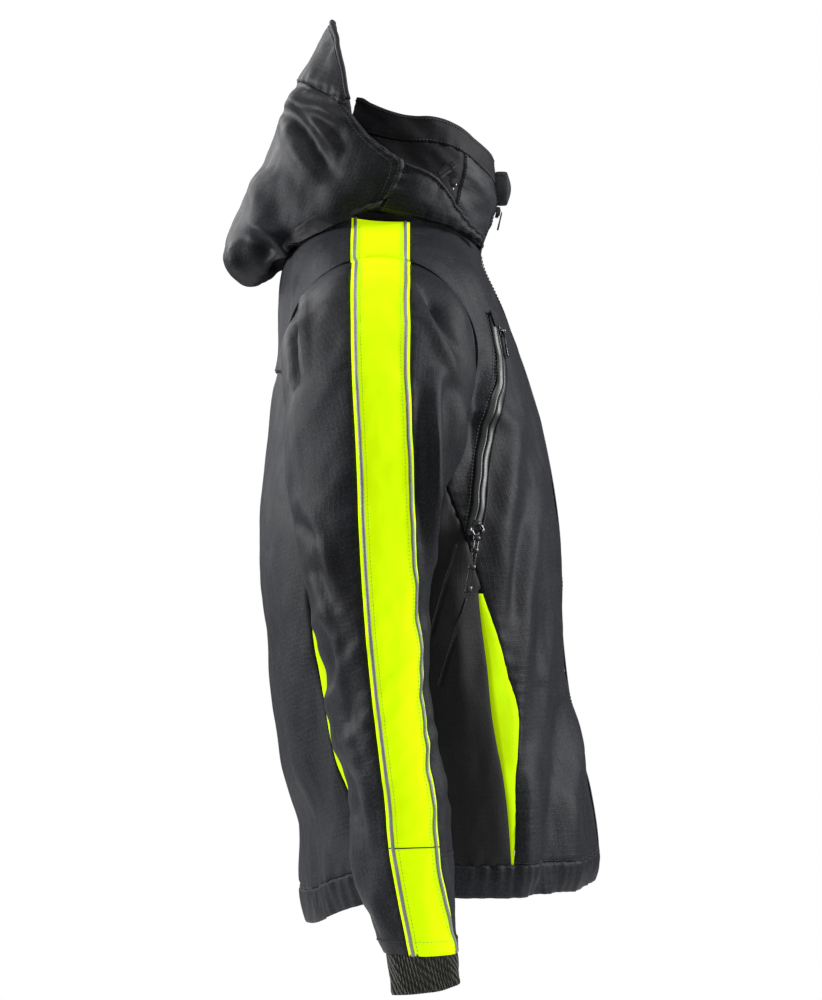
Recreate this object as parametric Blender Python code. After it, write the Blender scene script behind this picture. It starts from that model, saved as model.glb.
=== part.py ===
"""Hooded high-visibility work jacket, laid out as it hangs: a thin shell of separate cloth panels
with its zips, pulls, cord locks and hanger loop. Metres, +Z up, the front faces -Y, the wearer's
right is -X, and the origin is on the bearing face of the hanger loop at the back of the neck."""

import math

import bmesh
import bpy
from mathutils import Matrix, Vector
from mathutils.bvhtree import BVHTree

# ---- driving dimensions (metres) ----
CLOTH = 0.0024            # shell cloth with its lining
SEAM_GAP = 0.0014         # room between neighbouring panels
PULL_HALF = 0.0009        # half the thickness of a zip pull
ARMHOLE_X = 0.200         # distance of the sleeve's pivot from the middle plane
ARMHOLE_RADIUS = 0.099
ARMHOLE_Y = -0.037        # the armhole's axis runs along X through here
ARMHOLE_Z = -0.165
ZIP_GAP_HALF = 0.0085     # half the opening between the two fronts
STRIPE_HALF = 0.0265      # half the width of a fluorescent sleeve stripe
PIPING_WIDTH = 0.0030
PIPING_INSET = 0.0040
HOOD_PIVOT = (0.0, -0.063, -0.018)
NECK_TAPE_Z = -0.017
COLLAR_BAND = 0.72        # share of the collar's height below its top band
RIGHT, LEFT = -1, 1

# level: half width, side height, front depth, front height, back depth, back height
TORSO = (
    (0.000, 0.231, -0.700, -0.262, -0.705, 0.041, -0.746),
    (0.040, 0.237, -0.668, -0.266, -0.675, 0.047, -0.712),
    (0.130, 0.239, -0.605, -0.257, -0.611, 0.050, -0.645),
    (0.220, 0.240, -0.545, -0.242, -0.555, 0.068, -0.579),
    (0.350, 0.240, -0.445, -0.228, -0.450, 0.081, -0.460),
    (0.480, 0.237, -0.350, -0.225, -0.345, 0.090, -0.350),
    (0.600, 0.216, -0.270, -0.210, -0.250, 0.080, -0.240),
    (0.700, 0.195, -0.165, -0.189, -0.175, 0.069, -0.160),
    (0.800, 0.185, -0.085, -0.166, -0.118, 0.066, -0.107),
    (0.870, 0.163, -0.056, -0.152, -0.086, 0.060, -0.062),
    (0.935, 0.124, -0.039, -0.144, -0.064, 0.044, -0.022),
    (1.000, 0.087, -0.022, -0.142, -0.050, 0.020, -0.002),
)
# the same columns, from the neck seam to the collar's top edge
COLLAR = (
    (0.0, 0.086, -0.018, -0.143, -0.046, 0.019, 0.002),
    (0.5, 0.083, 0.036, -0.158, 0.000, 0.004, 0.055),
    (1.0, 0.078, 0.087, -0.154, 0.046, -0.013, 0.112),
)
# station: inner x, inner z, outer x, outer z, middle y, half depth, tuck of the seam
SLEEVE = (
    (0.000, 0.2040, -0.2580, 0.1680, -0.0720, -0.037, 0.0930, 0.020),
    (0.035, 0.2300, -0.2580, 0.1880, -0.0725, -0.037, 0.0930, 0.012),
    (0.080, 0.2460, -0.2760, 0.2200, -0.0770, -0.036, 0.0950, 0.004),
    (0.140, 0.2470, -0.2960, 0.2620, -0.0960, -0.034, 0.0910, 0.000),
    (0.210, 0.2480, -0.3180, 0.3000, -0.1350, -0.032, 0.0870, 0.000),
    (0.280, 0.2480, -0.3420, 0.3280, -0.1880, -0.030, 0.0830, 0.000),
    (0.360, 0.2480, -0.3740, 0.3460, -0.2560, -0.028, 0.0760, 0.000),
    (0.450, 0.2480, -0.4160, 0.3550, -0.3400, -0.026, 0.0650, 0.000),
    (0.550, 0.2480, -0.4700, 0.3580, -0.4250, -0.030, 0.0570, 0.000),
    (0.660, 0.2490, -0.5320, 0.3570, -0.5080, -0.039, 0.0540, 0.000),
    (0.780, 0.2500, -0.6000, 0.3530, -0.5920, -0.053, 0.0515, 0.000),
    (0.890, 0.2530, -0.6650, 0.3470, -0.6640, -0.063, 0.0470, 0.000),
    (1.000, 0.2610, -0.7430, 0.3390, -0.7430, -0.078, 0.0350, 0.000),
)
# station: how far the stripe's middle lies in front of the sleeve's
STRIPE_LEAD = ((0.0, 0.001), (0.25, 0.009), (0.45, 0.020), (0.65, 0.0205), (0.85, 0.0125), (1.0, 0.012))
# station along the hood's middle: middle y, z, side half width, side y, z
HOOD = (
    (0.00, 0.0500, 0.1250, 0.110, -0.0040, 0.0890),
    (0.15, 0.0670, 0.0840, 0.116, -0.0270, 0.0600),
    (0.30, 0.0870, 0.0420, 0.120, -0.0480, 0.0430),
    (0.45, 0.1100, 0.0000, 0.122, -0.0620, 0.0320),
    (0.58, 0.1270, -0.0490, 0.122, -0.0540, 0.0080),
    (0.66, 0.1250, -0.0660, 0.121, -0.0480, -0.0010),
    (0.74, 0.1120, -0.0800, 0.120, -0.0380, -0.0080),
    (0.84, 0.0950, -0.0830, 0.118, -0.0200, -0.0120),
    (0.93, 0.0800, -0.0700, 0.116, 0.0000, -0.0160),
    (1.00, 0.0720, -0.0480, 0.114, 0.0240, -0.0180),
)
BRIM_EDGE = (0.0116, 0.1900, 0.107, -0.0060, 0.0940)   # the same columns at the brim's free edge
# share of the way forward: lower edge x, y, z, upper edge x, y, z
HOOD_FLAP = (
    (0.00, 0.1120, -0.0360, -0.0160, 0.1090, -0.0620, 0.0320),
    (0.35, 0.1060, -0.0760, -0.0240, 0.1000, -0.0960, 0.0170),
    (0.70, 0.0880, -0.1120, -0.0330, 0.0860, -0.1180, -0.0130),
    (1.00, 0.0600, -0.1430, -0.0460, 0.0590, -0.1440, -0.0400),
)
# front pocket zip, down the chest: y, z
CHEST_ZIP = (
    (-0.1490, -0.1210), (-0.1560, -0.1560), (-0.1590, -0.1880), (-0.1530, -0.2160),
    (-0.1440, -0.2440), (-0.1380, -0.2800), (-0.1350, -0.3140), (-0.1290, -0.3460),
)
# share of the turn (0 at the front, 180 degrees at the back) where one panel meets the next
SEAM_STRIPE_FRONT = 75.0
SEAM_STRIPE_BACK = 107.0
SEAM_HEM_BACK = 117.5
# below the armhole, by level: front seam, front insert's rear edge, rear insert's front edge, back seam
BODY_SEAMS = (
    (0.0400, 72.4, 74.6, 112.0, 117.5),
    (0.1370, 69.5, 73.6, 110.0, 118.5),
    (0.1970, 64.6, 72.0, 109.5, 119.5),
    (0.2600, 60.5, 71.4, 110.5, 120.8),
    (0.3330, 63.8, 70.8, 113.5, 122.5),
    (0.4128, 70.0, 71.5, 120.4, 122.0),
)
LEVEL_HEM = 0.040
LEVEL_NECK = 0.996
LEVEL_STEPS = 18          # the body panels share these rows, so that their seams match
LEVEL_STEP = (LEVEL_NECK - LEVEL_HEM - 0.0016) / LEVEL_STEPS
LEVEL_START = LEVEL_HEM + 0.0016
ROWS_INSERT, ROWS_SIDE, ROWS_YOKE, ROWS_STRIPE = 7, 11, 12, 15
LEVEL_INSERT_TOP = LEVEL_START + ROWS_INSERT * LEVEL_STEP
LEVEL_YOKE = LEVEL_START + ROWS_YOKE * LEVEL_STEP
SLEEVE_STEPS = 15

CHARCOAL = ("shell_charcoal", (0.018, 0.018, 0.024), 0.78, 0.0)
DARK = ("lining_black", (0.008, 0.008, 0.010), 0.95, 0.0)
FLUORESCENT = ("fluorescent_yellow", (0.80, 1.0, 0.0), 0.70, 0.0)
REFLECTIVE = ("reflective_grey", (0.36, 0.37, 0.38), 0.45, 0.0)
RIBBED = ("rib_knit_black", (0.014, 0.014, 0.010), 0.95, 0.0)
COATED = ("zip_tape_coated", (0.020, 0.024, 0.024), 0.28, 0.0)
ENAMEL = ("zip_metal_black", (0.012, 0.012, 0.014), 0.35, 1.0)
PLASTIC = ("plastic_black", (0.012, 0.012, 0.013), 0.40, 0.0)


# ---- helpers ----
def clear_scene():
    for thing in list(bpy.data.objects):
        bpy.data.objects.remove(thing)


def material(spec):
    name, colour, roughness, metallic = spec
    made = bpy.data.materials.get(name)
    if made is None:
        made = bpy.data.materials.new(name)
        made.use_nodes = True
        shader = made.node_tree.nodes["Principled BSDF"]
        shader.inputs["Base Color"].default_value = (*colour, 1.0)
        shader.inputs["Roughness"].default_value = roughness
        shader.inputs["Metallic"].default_value = metallic
    return made


def between(rows, at):
    """The columns of a table at a station, on a smooth curve through its rows."""
    last = len(rows) - 2
    i = 0
    while i < last and at > rows[i + 1][0]:
        i += 1
    first, second = rows[i], rows[i + 1]
    before = rows[max(i - 1, 0)]
    after = rows[min(i + 2, len(rows) - 1)]
    span = second[0] - first[0]
    t = (at - first[0]) / span
    found = []
    for column in range(1, len(first)):
        slope_in = (second[column] - before[column]) / (second[0] - before[0]) * span
        slope_out = (after[column] - first[column]) / (after[0] - first[0]) * span
        a, b = first[column], second[column]
        found.append(
            (2 * t**3 - 3 * t**2 + 1) * a
            + (t**3 - 2 * t**2 + t) * slope_in
            + (3 * t**2 - 2 * t**3) * b
            + (t**3 - t**2) * slope_out
        )
    return found


def signed_power(value, power):
    return math.copysign(abs(value) ** power, value)


def mix(a, b, share):
    return a + (b - a) * share


def add_object(name, mesh, spec):
    made = bpy.data.objects.new(name, mesh)
    bpy.context.scene.collection.objects.link(made)
    mesh.materials.append(material(spec))
    return made


def sheet(name, surface, columns, rows, spec, flip=False, thickness=CLOTH):
    """A panel of cloth: surface(u, v) gives its outer face for u and v from 0 to 1."""
    form = bmesh.new()
    bmesh.ops.create_grid(form, x_segments=columns, y_segments=rows, size=0.5)
    for vertex in form.verts:
        vertex.co = surface(vertex.co.x + 0.5, vertex.co.y + 0.5)
    if flip:
        bmesh.ops.reverse_faces(form, faces=form.faces)
    mesh = bpy.data.meshes.new(name)
    form.to_mesh(mesh)
    form.free()
    mesh.shade_smooth()
    made = add_object(name, mesh, spec)
    wall = made.modifiers.new("cloth", "SOLIDIFY")
    wall.thickness = thickness
    wall.offset = -1.0
    return made


def block(name, size, place, spec, turn=None, bevel=0.0):
    """A rounded block of the given size, its middle at place."""
    form = bmesh.new()
    bmesh.ops.create_cube(form, size=1.0)
    bmesh.ops.scale(form, vec=Vector(size), verts=form.verts)
    if bevel:
        bmesh.ops.bevel(form, geom=form.edges[:], offset=bevel, segments=2, affect="EDGES")
    mesh = bpy.data.meshes.new(name)
    form.to_mesh(mesh)
    form.free()
    made = add_object(name, mesh, spec)
    made.matrix_world = Matrix.Translation(place) @ (turn.to_4x4() if turn else Matrix())
    return made


def extrude_outline(name, outline, low, high, spec, place=(0, 0, 0), turn=None, bevel=0.0):
    """A plate: the outline in its own x and y, from low to high in its own z."""
    form = bmesh.new()
    corners = [form.verts.new((x, y, low)) for x, y in outline]
    face = form.faces.new(corners)
    grown = bmesh.ops.extrude_face_region(form, geom=[face])
    moved = [item for item in grown["geom"] if isinstance(item, bmesh.types.BMVert)]
    bmesh.ops.translate(form, vec=(0, 0, high - low), verts=moved)
    bmesh.ops.recalc_face_normals(form, faces=form.faces[:])
    if bevel:
        bmesh.ops.bevel(form, geom=form.edges[:], offset=bevel, segments=1, affect="EDGES")
    mesh = bpy.data.meshes.new(name)
    form.to_mesh(mesh)
    form.free()
    made = add_object(name, mesh, spec)
    made.matrix_world = Matrix.Translation(place) @ (turn.to_4x4() if turn else Matrix())
    return made


def ribbon(name, path, width, low, high, spec):
    """A flat strip along path, a list of (point, outward direction), from low to high above it."""
    form = bmesh.new()
    rings = []
    for i, (point, outward) in enumerate(path):
        ahead = path[min(i + 1, len(path) - 1)][0] - path[max(i - 1, 0)][0]
        across = ahead.cross(outward).normalized() * (width / 2)
        up = across.cross(ahead).normalized()
        if up.dot(outward) < 0:
            up = -up
        corners = ((across, low), (across, high), (-across, high), (-across, low))
        rings.append([form.verts.new(point + side + up * lift) for side, lift in corners])
    for near, far in zip(rings, rings[1:]):
        for i in range(4):
            form.faces.new((near[i], near[(i + 1) % 4], far[(i + 1) % 4], far[i]))
    form.faces.new(rings[0])
    form.faces.new(rings[-1])
    bmesh.ops.recalc_face_normals(form, faces=form.faces[:])
    mesh = bpy.data.meshes.new(name)
    form.to_mesh(mesh)
    form.free()
    return add_object(name, mesh, spec)


def side_name(side):
    return "right" if side == RIGHT else "left"


# ---- the surfaces that the panels are cut from ----
def ring_point(rows, degrees, level, side, front_square, back_square):
    """A point on a body or collar ring: 0 degrees at the front, 180 at the back."""
    half, side_z, front_y, front_z, back_y, back_z = between(rows, level)
    turn = math.radians(degrees)
    cosine, sine = math.cos(turn), math.sin(turn)
    share = (1 + cosine) / 2
    square = mix(back_square, front_square, share)
    middle_y, half_depth = (front_y + back_y) / 2, (back_y - front_y) / 2
    end_z = front_z if cosine > 0 else back_z
    return Vector((
        side * half * signed_power(sine, square),
        middle_y - half_depth * signed_power(cosine, square),
        mix(side_z, end_z, cosine**2),
    ))


def torso_point(degrees, level, side=RIGHT):
    # the back is flat between the shoulder blades and rounds out again towards the neck and hem
    flat = 0.62 if level < 0.8 else mix(0.62, 0.95, (level - 0.8) / 0.2)
    return ring_point(TORSO, degrees, level, side, 0.84, flat)


def collar_point(degrees, level, side=RIGHT, inset=0.0):
    point = ring_point(COLLAR, degrees, level, side, 0.95, 0.95)
    middle = Vector((0.0, mix(-0.062, -0.084, level), point.z))
    return point + (middle - point).normalized() * inset


def sleeve_point(degrees, station, side=RIGHT):
    """0 degrees on the outside of the arm, 90 at its front, 180 at the underarm seam."""
    inner_x, inner_z, outer_x, outer_z, middle_y, half_depth, tuck = between(SLEEVE, station)
    turn = math.radians(degrees)
    cosine, sine = math.cos(turn), math.sin(turn)
    along = (1 + cosine) / 2
    return Vector((
        side * (mix(inner_x, outer_x, along) - tuck * sine**2),
        middle_y - half_depth * sine,
        mix(inner_z, outer_z, along),
    ))


def stripe_edge(station, front):
    """The angle on the sleeve where the stripe's front or back edge lies."""
    _, _, _, _, _, half_depth, _ = between(SLEEVE, station)
    lead = between(STRIPE_LEAD, station)[0]
    narrow = 1.0 - 0.10 * station
    reach = lead + (STRIPE_HALF * narrow if front else -STRIPE_HALF * narrow)
    share = max(-0.97, min(0.97, reach / half_depth))
    return math.degrees(math.asin(share))


def hood_point(across, station, brim=0.0):
    """across runs from -1 at the right edge over the middle to 1 at the left edge."""
    row = between(HOOD, station)
    if brim:
        row = [mix(value, edge, brim) for value, edge in zip(row, BRIM_EDGE)]
    middle_y, middle_z, half, side_y, side_z = row
    turn = abs(across) * math.pi / 2
    fall = 1 - math.cos(turn)
    return Vector((
        math.copysign(half * math.sin(turn) ** 0.85, across),
        mix(middle_y, side_y, fall),
        mix(middle_z, side_z, fall),
    ))


def torso_tree(side):
    """A fine mesh of one side of the body, to seat pieces on."""
    turns, levels = 60, 80
    points = [
        torso_point(180 * i / turns, j / levels, side)
        for j in range(levels + 1)
        for i in range(turns + 1)
    ]
    faces = [
        (j * (turns + 1) + i, j * (turns + 1) + i + 1, (j + 1) * (turns + 1) + i + 1, (j + 1) * (turns + 1) + i)
        for j in range(levels)
        for i in range(turns)
    ]
    return BVHTree.FromPolygons(points, faces)


def seat(tree, side, y, z):
    """(point, outward direction) where the body's side lies at this y and z."""
    point, normal, _, _ = tree.ray_cast(Vector((side * 0.6, y, z)), Vector((-side, 0, 0)))
    if normal.x * side < 0:
        normal = -normal
    return point, normal


def frame_on(point, outward, along):
    """A turn whose x runs along, y across and z outward."""
    outward = outward.normalized()
    along = (along - outward * along.dot(outward)).normalized()
    return Matrix((along, outward.cross(along), outward)).transposed()


# ---- body panels ----
def armhole_cutter(side):
    form = bmesh.new()
    bmesh.ops.create_cone(
        form, cap_ends=True, segments=32, radius1=ARMHOLE_RADIUS, radius2=ARMHOLE_RADIUS, depth=0.22
    )
    mesh = bpy.data.meshes.new("armhole_cutter")
    form.to_mesh(mesh)
    form.free()
    made = bpy.data.objects.new(f"{side_name(side)}_armhole_cutter", mesh)
    bpy.context.scene.collection.objects.link(made)
    made.matrix_world = (
        Matrix.Translation((side * 0.22, ARMHOLE_Y, ARMHOLE_Z)) @ Matrix.Rotation(math.pi / 2, 4, "Y")
    )
    made.hide_render = True
    made.display_type = "WIRE"
    return made


def cut_with(piece, cutter):
    cut = piece.modifiers.new("armhole", "BOOLEAN")
    cut.operation = "DIFFERENCE"
    cut.object = cutter


def zip_edge(level):
    """The angle on the body's front where the opening for the zip ends."""
    half = between(TORSO, level)[0]
    return math.degrees(math.asin((ZIP_GAP_HALF / half) ** (1 / 0.84)))


def body_patch(side, low, high, first, last):
    """Surface of a panel between two levels and two seams, which follow the level."""
    def surface(u, v):
        level = mix(low, high, v)
        return torso_point(mix(first(level), last(level), u), level, side)
    return surface


def back_surface(low, high):
    """Surface of a panel that runs round the back from one seam to the other."""
    def surface(u, v):
        level = mix(low, high, v)
        side = RIGHT if u < 0.5 else LEFT
        return torso_point(mix(back_seam(level), 180.0, 1 - abs(2 * u - 1)), level, side)
    return surface


def seam_gap_turn():
    """The seam gap as an angle, on a ring of the body's usual size."""
    return math.degrees(SEAM_GAP / 0.16)


def front_seam(level):
    """Where the front panel ends: at the stripe above the armhole, at the side seam below it."""
    if level >= 0.88:
        return SEAM_STRIPE_FRONT
    if level >= 0.60:
        return mix(84.0, SEAM_STRIPE_FRONT, (level - 0.60) / 0.28)
    if level >= LEVEL_INSERT_TOP:
        return mix(BODY_SEAMS[-1][1], 84.0, (level - LEVEL_INSERT_TOP) / (0.60 - LEVEL_INSERT_TOP))
    return between(BODY_SEAMS, level)[0]


def back_seam(level):
    """Where the back panel and the yoke end."""
    if level >= 0.88:
        return SEAM_STRIPE_BACK
    if level >= 0.60:
        return mix(104.0, SEAM_STRIPE_BACK, (level - 0.60) / 0.28)
    if level >= LEVEL_INSERT_TOP:
        return mix(BODY_SEAMS[-1][4], 104.0, (level - LEVEL_INSERT_TOP) / (0.60 - LEVEL_INSERT_TOP))
    return between(BODY_SEAMS, level)[3]


def side_front(level):
    """The side panel's front edge, along the fluorescent insert where there is one."""
    return between(BODY_SEAMS, level)[1] if level < LEVEL_INSERT_TOP + 0.001 else front_seam(level)


def side_back(level):
    return between(BODY_SEAMS, level)[2] if level < LEVEL_INSERT_TOP + 0.001 else back_seam(level)


def build_body():
    gap = seam_gap_turn()
    for side in (RIGHT, LEFT):
        tag = side_name(side)
        flip = side == RIGHT
        cutter = armhole_cutter(side)

        def panel(name, first, last, low_row, high_row, columns, spec):
            low = LEVEL_START + low_row * LEVEL_STEP
            high = LEVEL_START + high_row * LEVEL_STEP
            surface = body_patch(side, low, high, first, lambda level: last(level) - gap)
            return sheet(f"{tag}_{name}", surface, columns, high_row - low_row, spec, flip)

        cut_pieces = [
            panel("front_panel", zip_edge, front_seam, 0, LEVEL_STEPS, 7, CHARCOAL),
            panel("side_panel", side_front, side_back, 0, ROWS_SIDE, 4, CHARCOAL),
            panel("shoulder_stripe", front_seam, back_seam, ROWS_STRIPE, LEVEL_STEPS, 3, FLUORESCENT),
        ]
        for piece in cut_pieces:
            cut_with(piece, cutter)
        panel("front_insert", front_seam, side_front, 0, ROWS_INSERT, 3, FLUORESCENT)
        panel("rear_insert", side_back, back_seam, 0, ROWS_INSERT, 3, FLUORESCENT)

    for name, low_row, high_row in (("back_panel", 0, ROWS_YOKE), ("back_yoke", ROWS_YOKE, LEVEL_STEPS)):
        low = LEVEL_START + low_row * LEVEL_STEP + (0.0030 if low_row else 0.0)
        high = LEVEL_START + high_row * LEVEL_STEP
        piece = sheet(name, back_surface(low, high), 12, high_row - low_row, CHARCOAL, True)
        for side in (RIGHT, LEFT):
            cut_with(piece, bpy.data.objects[f"{side_name(side)}_armhole_cutter"])


def build_hem():
    for side in (RIGHT, LEFT):
        sheet(
            f"{side_name(side)}_hem_band",
            body_patch(side, 0.0, LEVEL_HEM - 0.0002, zip_edge, lambda level: SEAM_HEM_BACK - 0.6),
            10, 1, CHARCOAL, side == RIGHT,
        )

    def rear(u, v):
        side = RIGHT if u < 0.5 else LEFT
        degrees = mix(SEAM_HEM_BACK, 180.0, 1 - abs(2 * u - 1))
        return torso_point(degrees, mix(0.0, LEVEL_HEM - 0.0002, v), side)

    sheet("rear_hem_band", rear, 12, 1, CHARCOAL, True)


# ---- collar ----
def collar_ring(first, last, low, high, inset):
    def surface(u, v):
        degrees = mix(first, last, u)
        side = RIGHT if degrees < 0 else LEFT
        return collar_point(abs(degrees), mix(low, high, v), side, inset)
    return surface


def around_back(first, low, high, inset):
    """A collar piece from one side round the back to the other; first is its angle from the front."""
    def surface(u, v):
        side = RIGHT if u < 0.5 else LEFT
        return collar_point(mix(first, 180.0, 1 - abs(2 * u - 1)), mix(low, high, v), side, inset)
    return surface


def build_collar():
    dark_from = 57.0
    zip_turn = 7.0
    sheet("collar_back", around_back(dark_from, 0.0, COLLAR_BAND - 0.006, 0.0), 14, 3, DARK, True)
    for side in (RIGHT, LEFT):
        def front(u, v, side=side):
            return collar_point(mix(zip_turn, dark_from - 1.3, u), mix(0.0, COLLAR_BAND - 0.006, v), side)
        sheet(f"{side_name(side)}_collar_front", front, 3, 3, CHARCOAL, side == RIGHT)
    sheet("collar_top_band", around_back(zip_turn, COLLAR_BAND, 1.0, 0.0), 20, 2, DARK, True)
    sheet("collar_lining", around_back(zip_turn, 0.02, 0.985, CLOTH + 0.0010), 20, 3, DARK, True, 0.0028)
    block("chin_guard", (0.026, 0.011, 0.034), (0.0, -0.1650, 0.0170), CHARCOAL, bevel=0.0045)


# ---- main zip ----
def front_line(low, high, count):
    """Points down the middle of the front, with their outward direction."""
    path = []
    for i in range(count):
        level = mix(low, high, i / (count - 1))
        point = torso_point(0.0, level, RIGHT)
        near, far = torso_point(0.0, max(0.0, level - 0.004)), torso_point(0.0, min(1.0, level + 0.004))
        along = far - near
        outward = Vector((0, -along.z, along.y)).normalized()
        if outward.y > 0:
            outward = -outward
        path.append((Vector((0, point.y, point.z)), outward))
    return path


def collar_line(low, high, count):
    path = []
    for i in range(count):
        level = mix(low, high, i / (count - 1))
        point = collar_point(0.0, level)
        along = collar_point(0.0, level + 0.01) - collar_point(0.0, level - 0.01 if level > 0.01 else 0.0)
        outward = Vector((0, -abs(along.z), math.copysign(abs(along.y), along.y))).normalized()
        path.append((Vector((0, point.y, point.z)), outward))
    return path


def build_main_zip():
    whole = front_line(0.004, 0.970, 26) + collar_line(0.12, 0.93, 8)
    ribbon("main_zip_chain", whole, 0.0056, -0.0014, 0.0006, PLASTIC)
    ribbon("inner_storm_flap", front_line(0.01, 0.90, 22), 0.052, -0.0088, -0.0066, CHARCOAL)
    top, outward = collar_line(0.42, 0.43, 2)[0]
    bottom, _ = collar_line(0.08, 0.09, 2)[0]
    along = bottom - top
    turn = frame_on(top, outward, along)
    seat_point = top + outward * 0.0034
    block("main_slider", (0.0110, 0.0086, 0.0040), seat_point, ENAMEL, turn, 0.0009)
    hinge = seat_point + outward * 0.0042
    outline = pull_outline(0.022, 0.0058)
    extrude_outline("main_pull", outline, -PULL_HALF, PULL_HALF, ENAMEL, hinge, turn, 0.0003)


def pull_outline(length, width, waist=0.72):
    """A zip pull in plan: a square eye end at the hinge, a waist and a round far end."""
    half = width / 2
    outline = [(-0.0014, -half * 0.8), (0.0030, -half * 0.8), (length * 0.45, -half * waist)]
    steps = 7
    for i in range(steps):
        turn = -math.pi / 2 + math.pi * i / (steps - 1)
        outline.append((length - half + half * math.cos(turn), half * math.sin(turn)))
    outline += [(length * 0.45, half * waist), (0.0030, half * 0.8), (-0.0014, half * 0.8)]
    return outline


# ---- chest zips ----
def build_chest_zips():
    for side in (RIGHT, LEFT):
        tag = side_name(side)
        tree = torso_tree(side)
        rows = [(i / (len(CHEST_ZIP) - 1), y, z) for i, (y, z) in enumerate(CHEST_ZIP)]
        path = []
        for i in range(25):
            y, z = between(rows, i / 24)
            path.append(seat(tree, side, y, z))
        ribbon(f"{tag}_chest_zip", path, 0.0150, 0.0005, 0.0024, COATED)
        top, outward = path[2]
        heading = path[6][0] - path[1][0]
        turn = frame_on(top, outward, heading)
        place = top + turn @ Vector((0, 0, 0.0066))
        block(f"{tag}_upper_slider", (0.0110, 0.0080, 0.0036), place, ENAMEL, turn, 0.0008)
        hinge = place + turn @ Vector((0.0, 0, 0.0040))
        outline = pull_outline(0.030, 0.0064)
        extrude_outline(f"{tag}_upper_pull", outline, -PULL_HALF, PULL_HALF, ENAMEL, hinge, turn, 0.0003)
        low, low_out = path[23]
        heading = path[18][0] - path[24][0]
        turn = frame_on(low, low_out, heading)
        place = low + turn @ Vector((0, 0, 0.0066))
        block(f"{tag}_lower_slider", (0.0110, 0.0080, 0.0036), place, ENAMEL, turn, 0.0008)
        hinge = place + turn @ Vector((0.0, 0, 0.0040))
        flipped = turn @ Matrix.Rotation(math.pi, 3, "Z")
        outline = pull_outline(0.072, 0.0066, 0.42)
        extrude_outline(f"{tag}_lower_pull", outline, -PULL_HALF, PULL_HALF, ENAMEL, hinge, flipped, 0.0003)


# ---- sleeves ----
def build_sleeves():
    for side in (RIGHT, LEFT):
        tag = side_name(side)
        flip = side == RIGHT
        edge_gap = 2.2

        def panel(first, last, low=0.0, high=1.0):
            def surface(u, v):
                station = mix(low, high, v)
                return sleeve_point(mix(first(station), last(station), u), station, side)
            return surface

        front = lambda s: stripe_edge(s, True)
        back = lambda s: stripe_edge(s, False)
        stripe = panel(lambda s: back(s) + edge_gap, front)
        forward = panel(lambda s: front(s) + edge_gap, lambda s: 178.4)
        sheet(f"{tag}_sleeve_stripe", stripe, 3, SLEEVE_STEPS, FLUORESCENT, flip)
        sheet(f"{tag}_sleeve_front", forward, 5, SLEEVE_STEPS, CHARCOAL, flip)
        sheet(f"{tag}_sleeve_back", panel(lambda s: -178.4, back), 5, SLEEVE_STEPS, CHARCOAL, flip)
        for place, edge, inward in (("front", front, -1), ("back", back, 1)):
            path = []
            for i in range(1, SLEEVE_STEPS + 1):
                station = i / SLEEVE_STEPS
                half_depth = between(SLEEVE, station)[5]
                inset = math.degrees(PIPING_INSET / half_depth)
                degrees = edge(station) + inward * inset
                point = sleeve_point(degrees, station, side)
                around = sleeve_point(degrees + 2, station, side) - sleeve_point(degrees - 2, station, side)
                down = sleeve_point(degrees, min(1, station + 0.01), side) - sleeve_point(
                    degrees, max(0, station - 0.01), side
                )
                outward = around.cross(down).normalized()
                path.append((point, outward if outward.x * side > 0 else -outward))
            ribbon(f"{tag}_sleeve_piping_{place}", path, PIPING_WIDTH, 0.0007, 0.0015, REFLECTIVE)
        build_cuff(side, tag, flip)


def build_cuff(side, tag, flip):
    """The rib-knit cuff is one closed tube with an open end, turned as a lathe profile."""
    rings = (
        (-0.7442, 0.0375, 0.0336), (-0.7580, 0.0345, 0.0320),
        (-0.7720, 0.0335, 0.0312), (-0.7860, 0.0345, 0.0318),
    )
    wall = 0.0030
    steps = 20
    form = bmesh.new()
    loops = []
    profile = [(z, a, b) for z, a, b in rings] + [(z, a - wall, b - wall) for z, a, b in reversed(rings)]
    for z, half_x, half_y in profile:
        drop = (-0.7442 - z) / 0.042
        middle = Vector((side * 0.300, -0.0785 - 0.0065 * drop, z))
        loops.append([
            form.verts.new(middle + Vector((
                side * half_x * math.cos(2 * math.pi * k / steps), half_y * math.sin(2 * math.pi * k / steps), 0
            )))
            for k in range(steps)
        ])
    for i, loop in enumerate(loops):
        following = loops[(i + 1) % len(loops)]
        for k in range(steps):
            form.faces.new((loop[k], loop[(k + 1) % steps], following[(k + 1) % steps], following[k]))
    bmesh.ops.recalc_face_normals(form, faces=form.faces[:])
    mesh = bpy.data.meshes.new(f"{tag}_rib_cuff")
    form.to_mesh(mesh)
    form.free()
    mesh.shade_smooth()
    add_object(f"{tag}_rib_cuff", mesh, RIBBED)


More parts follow.
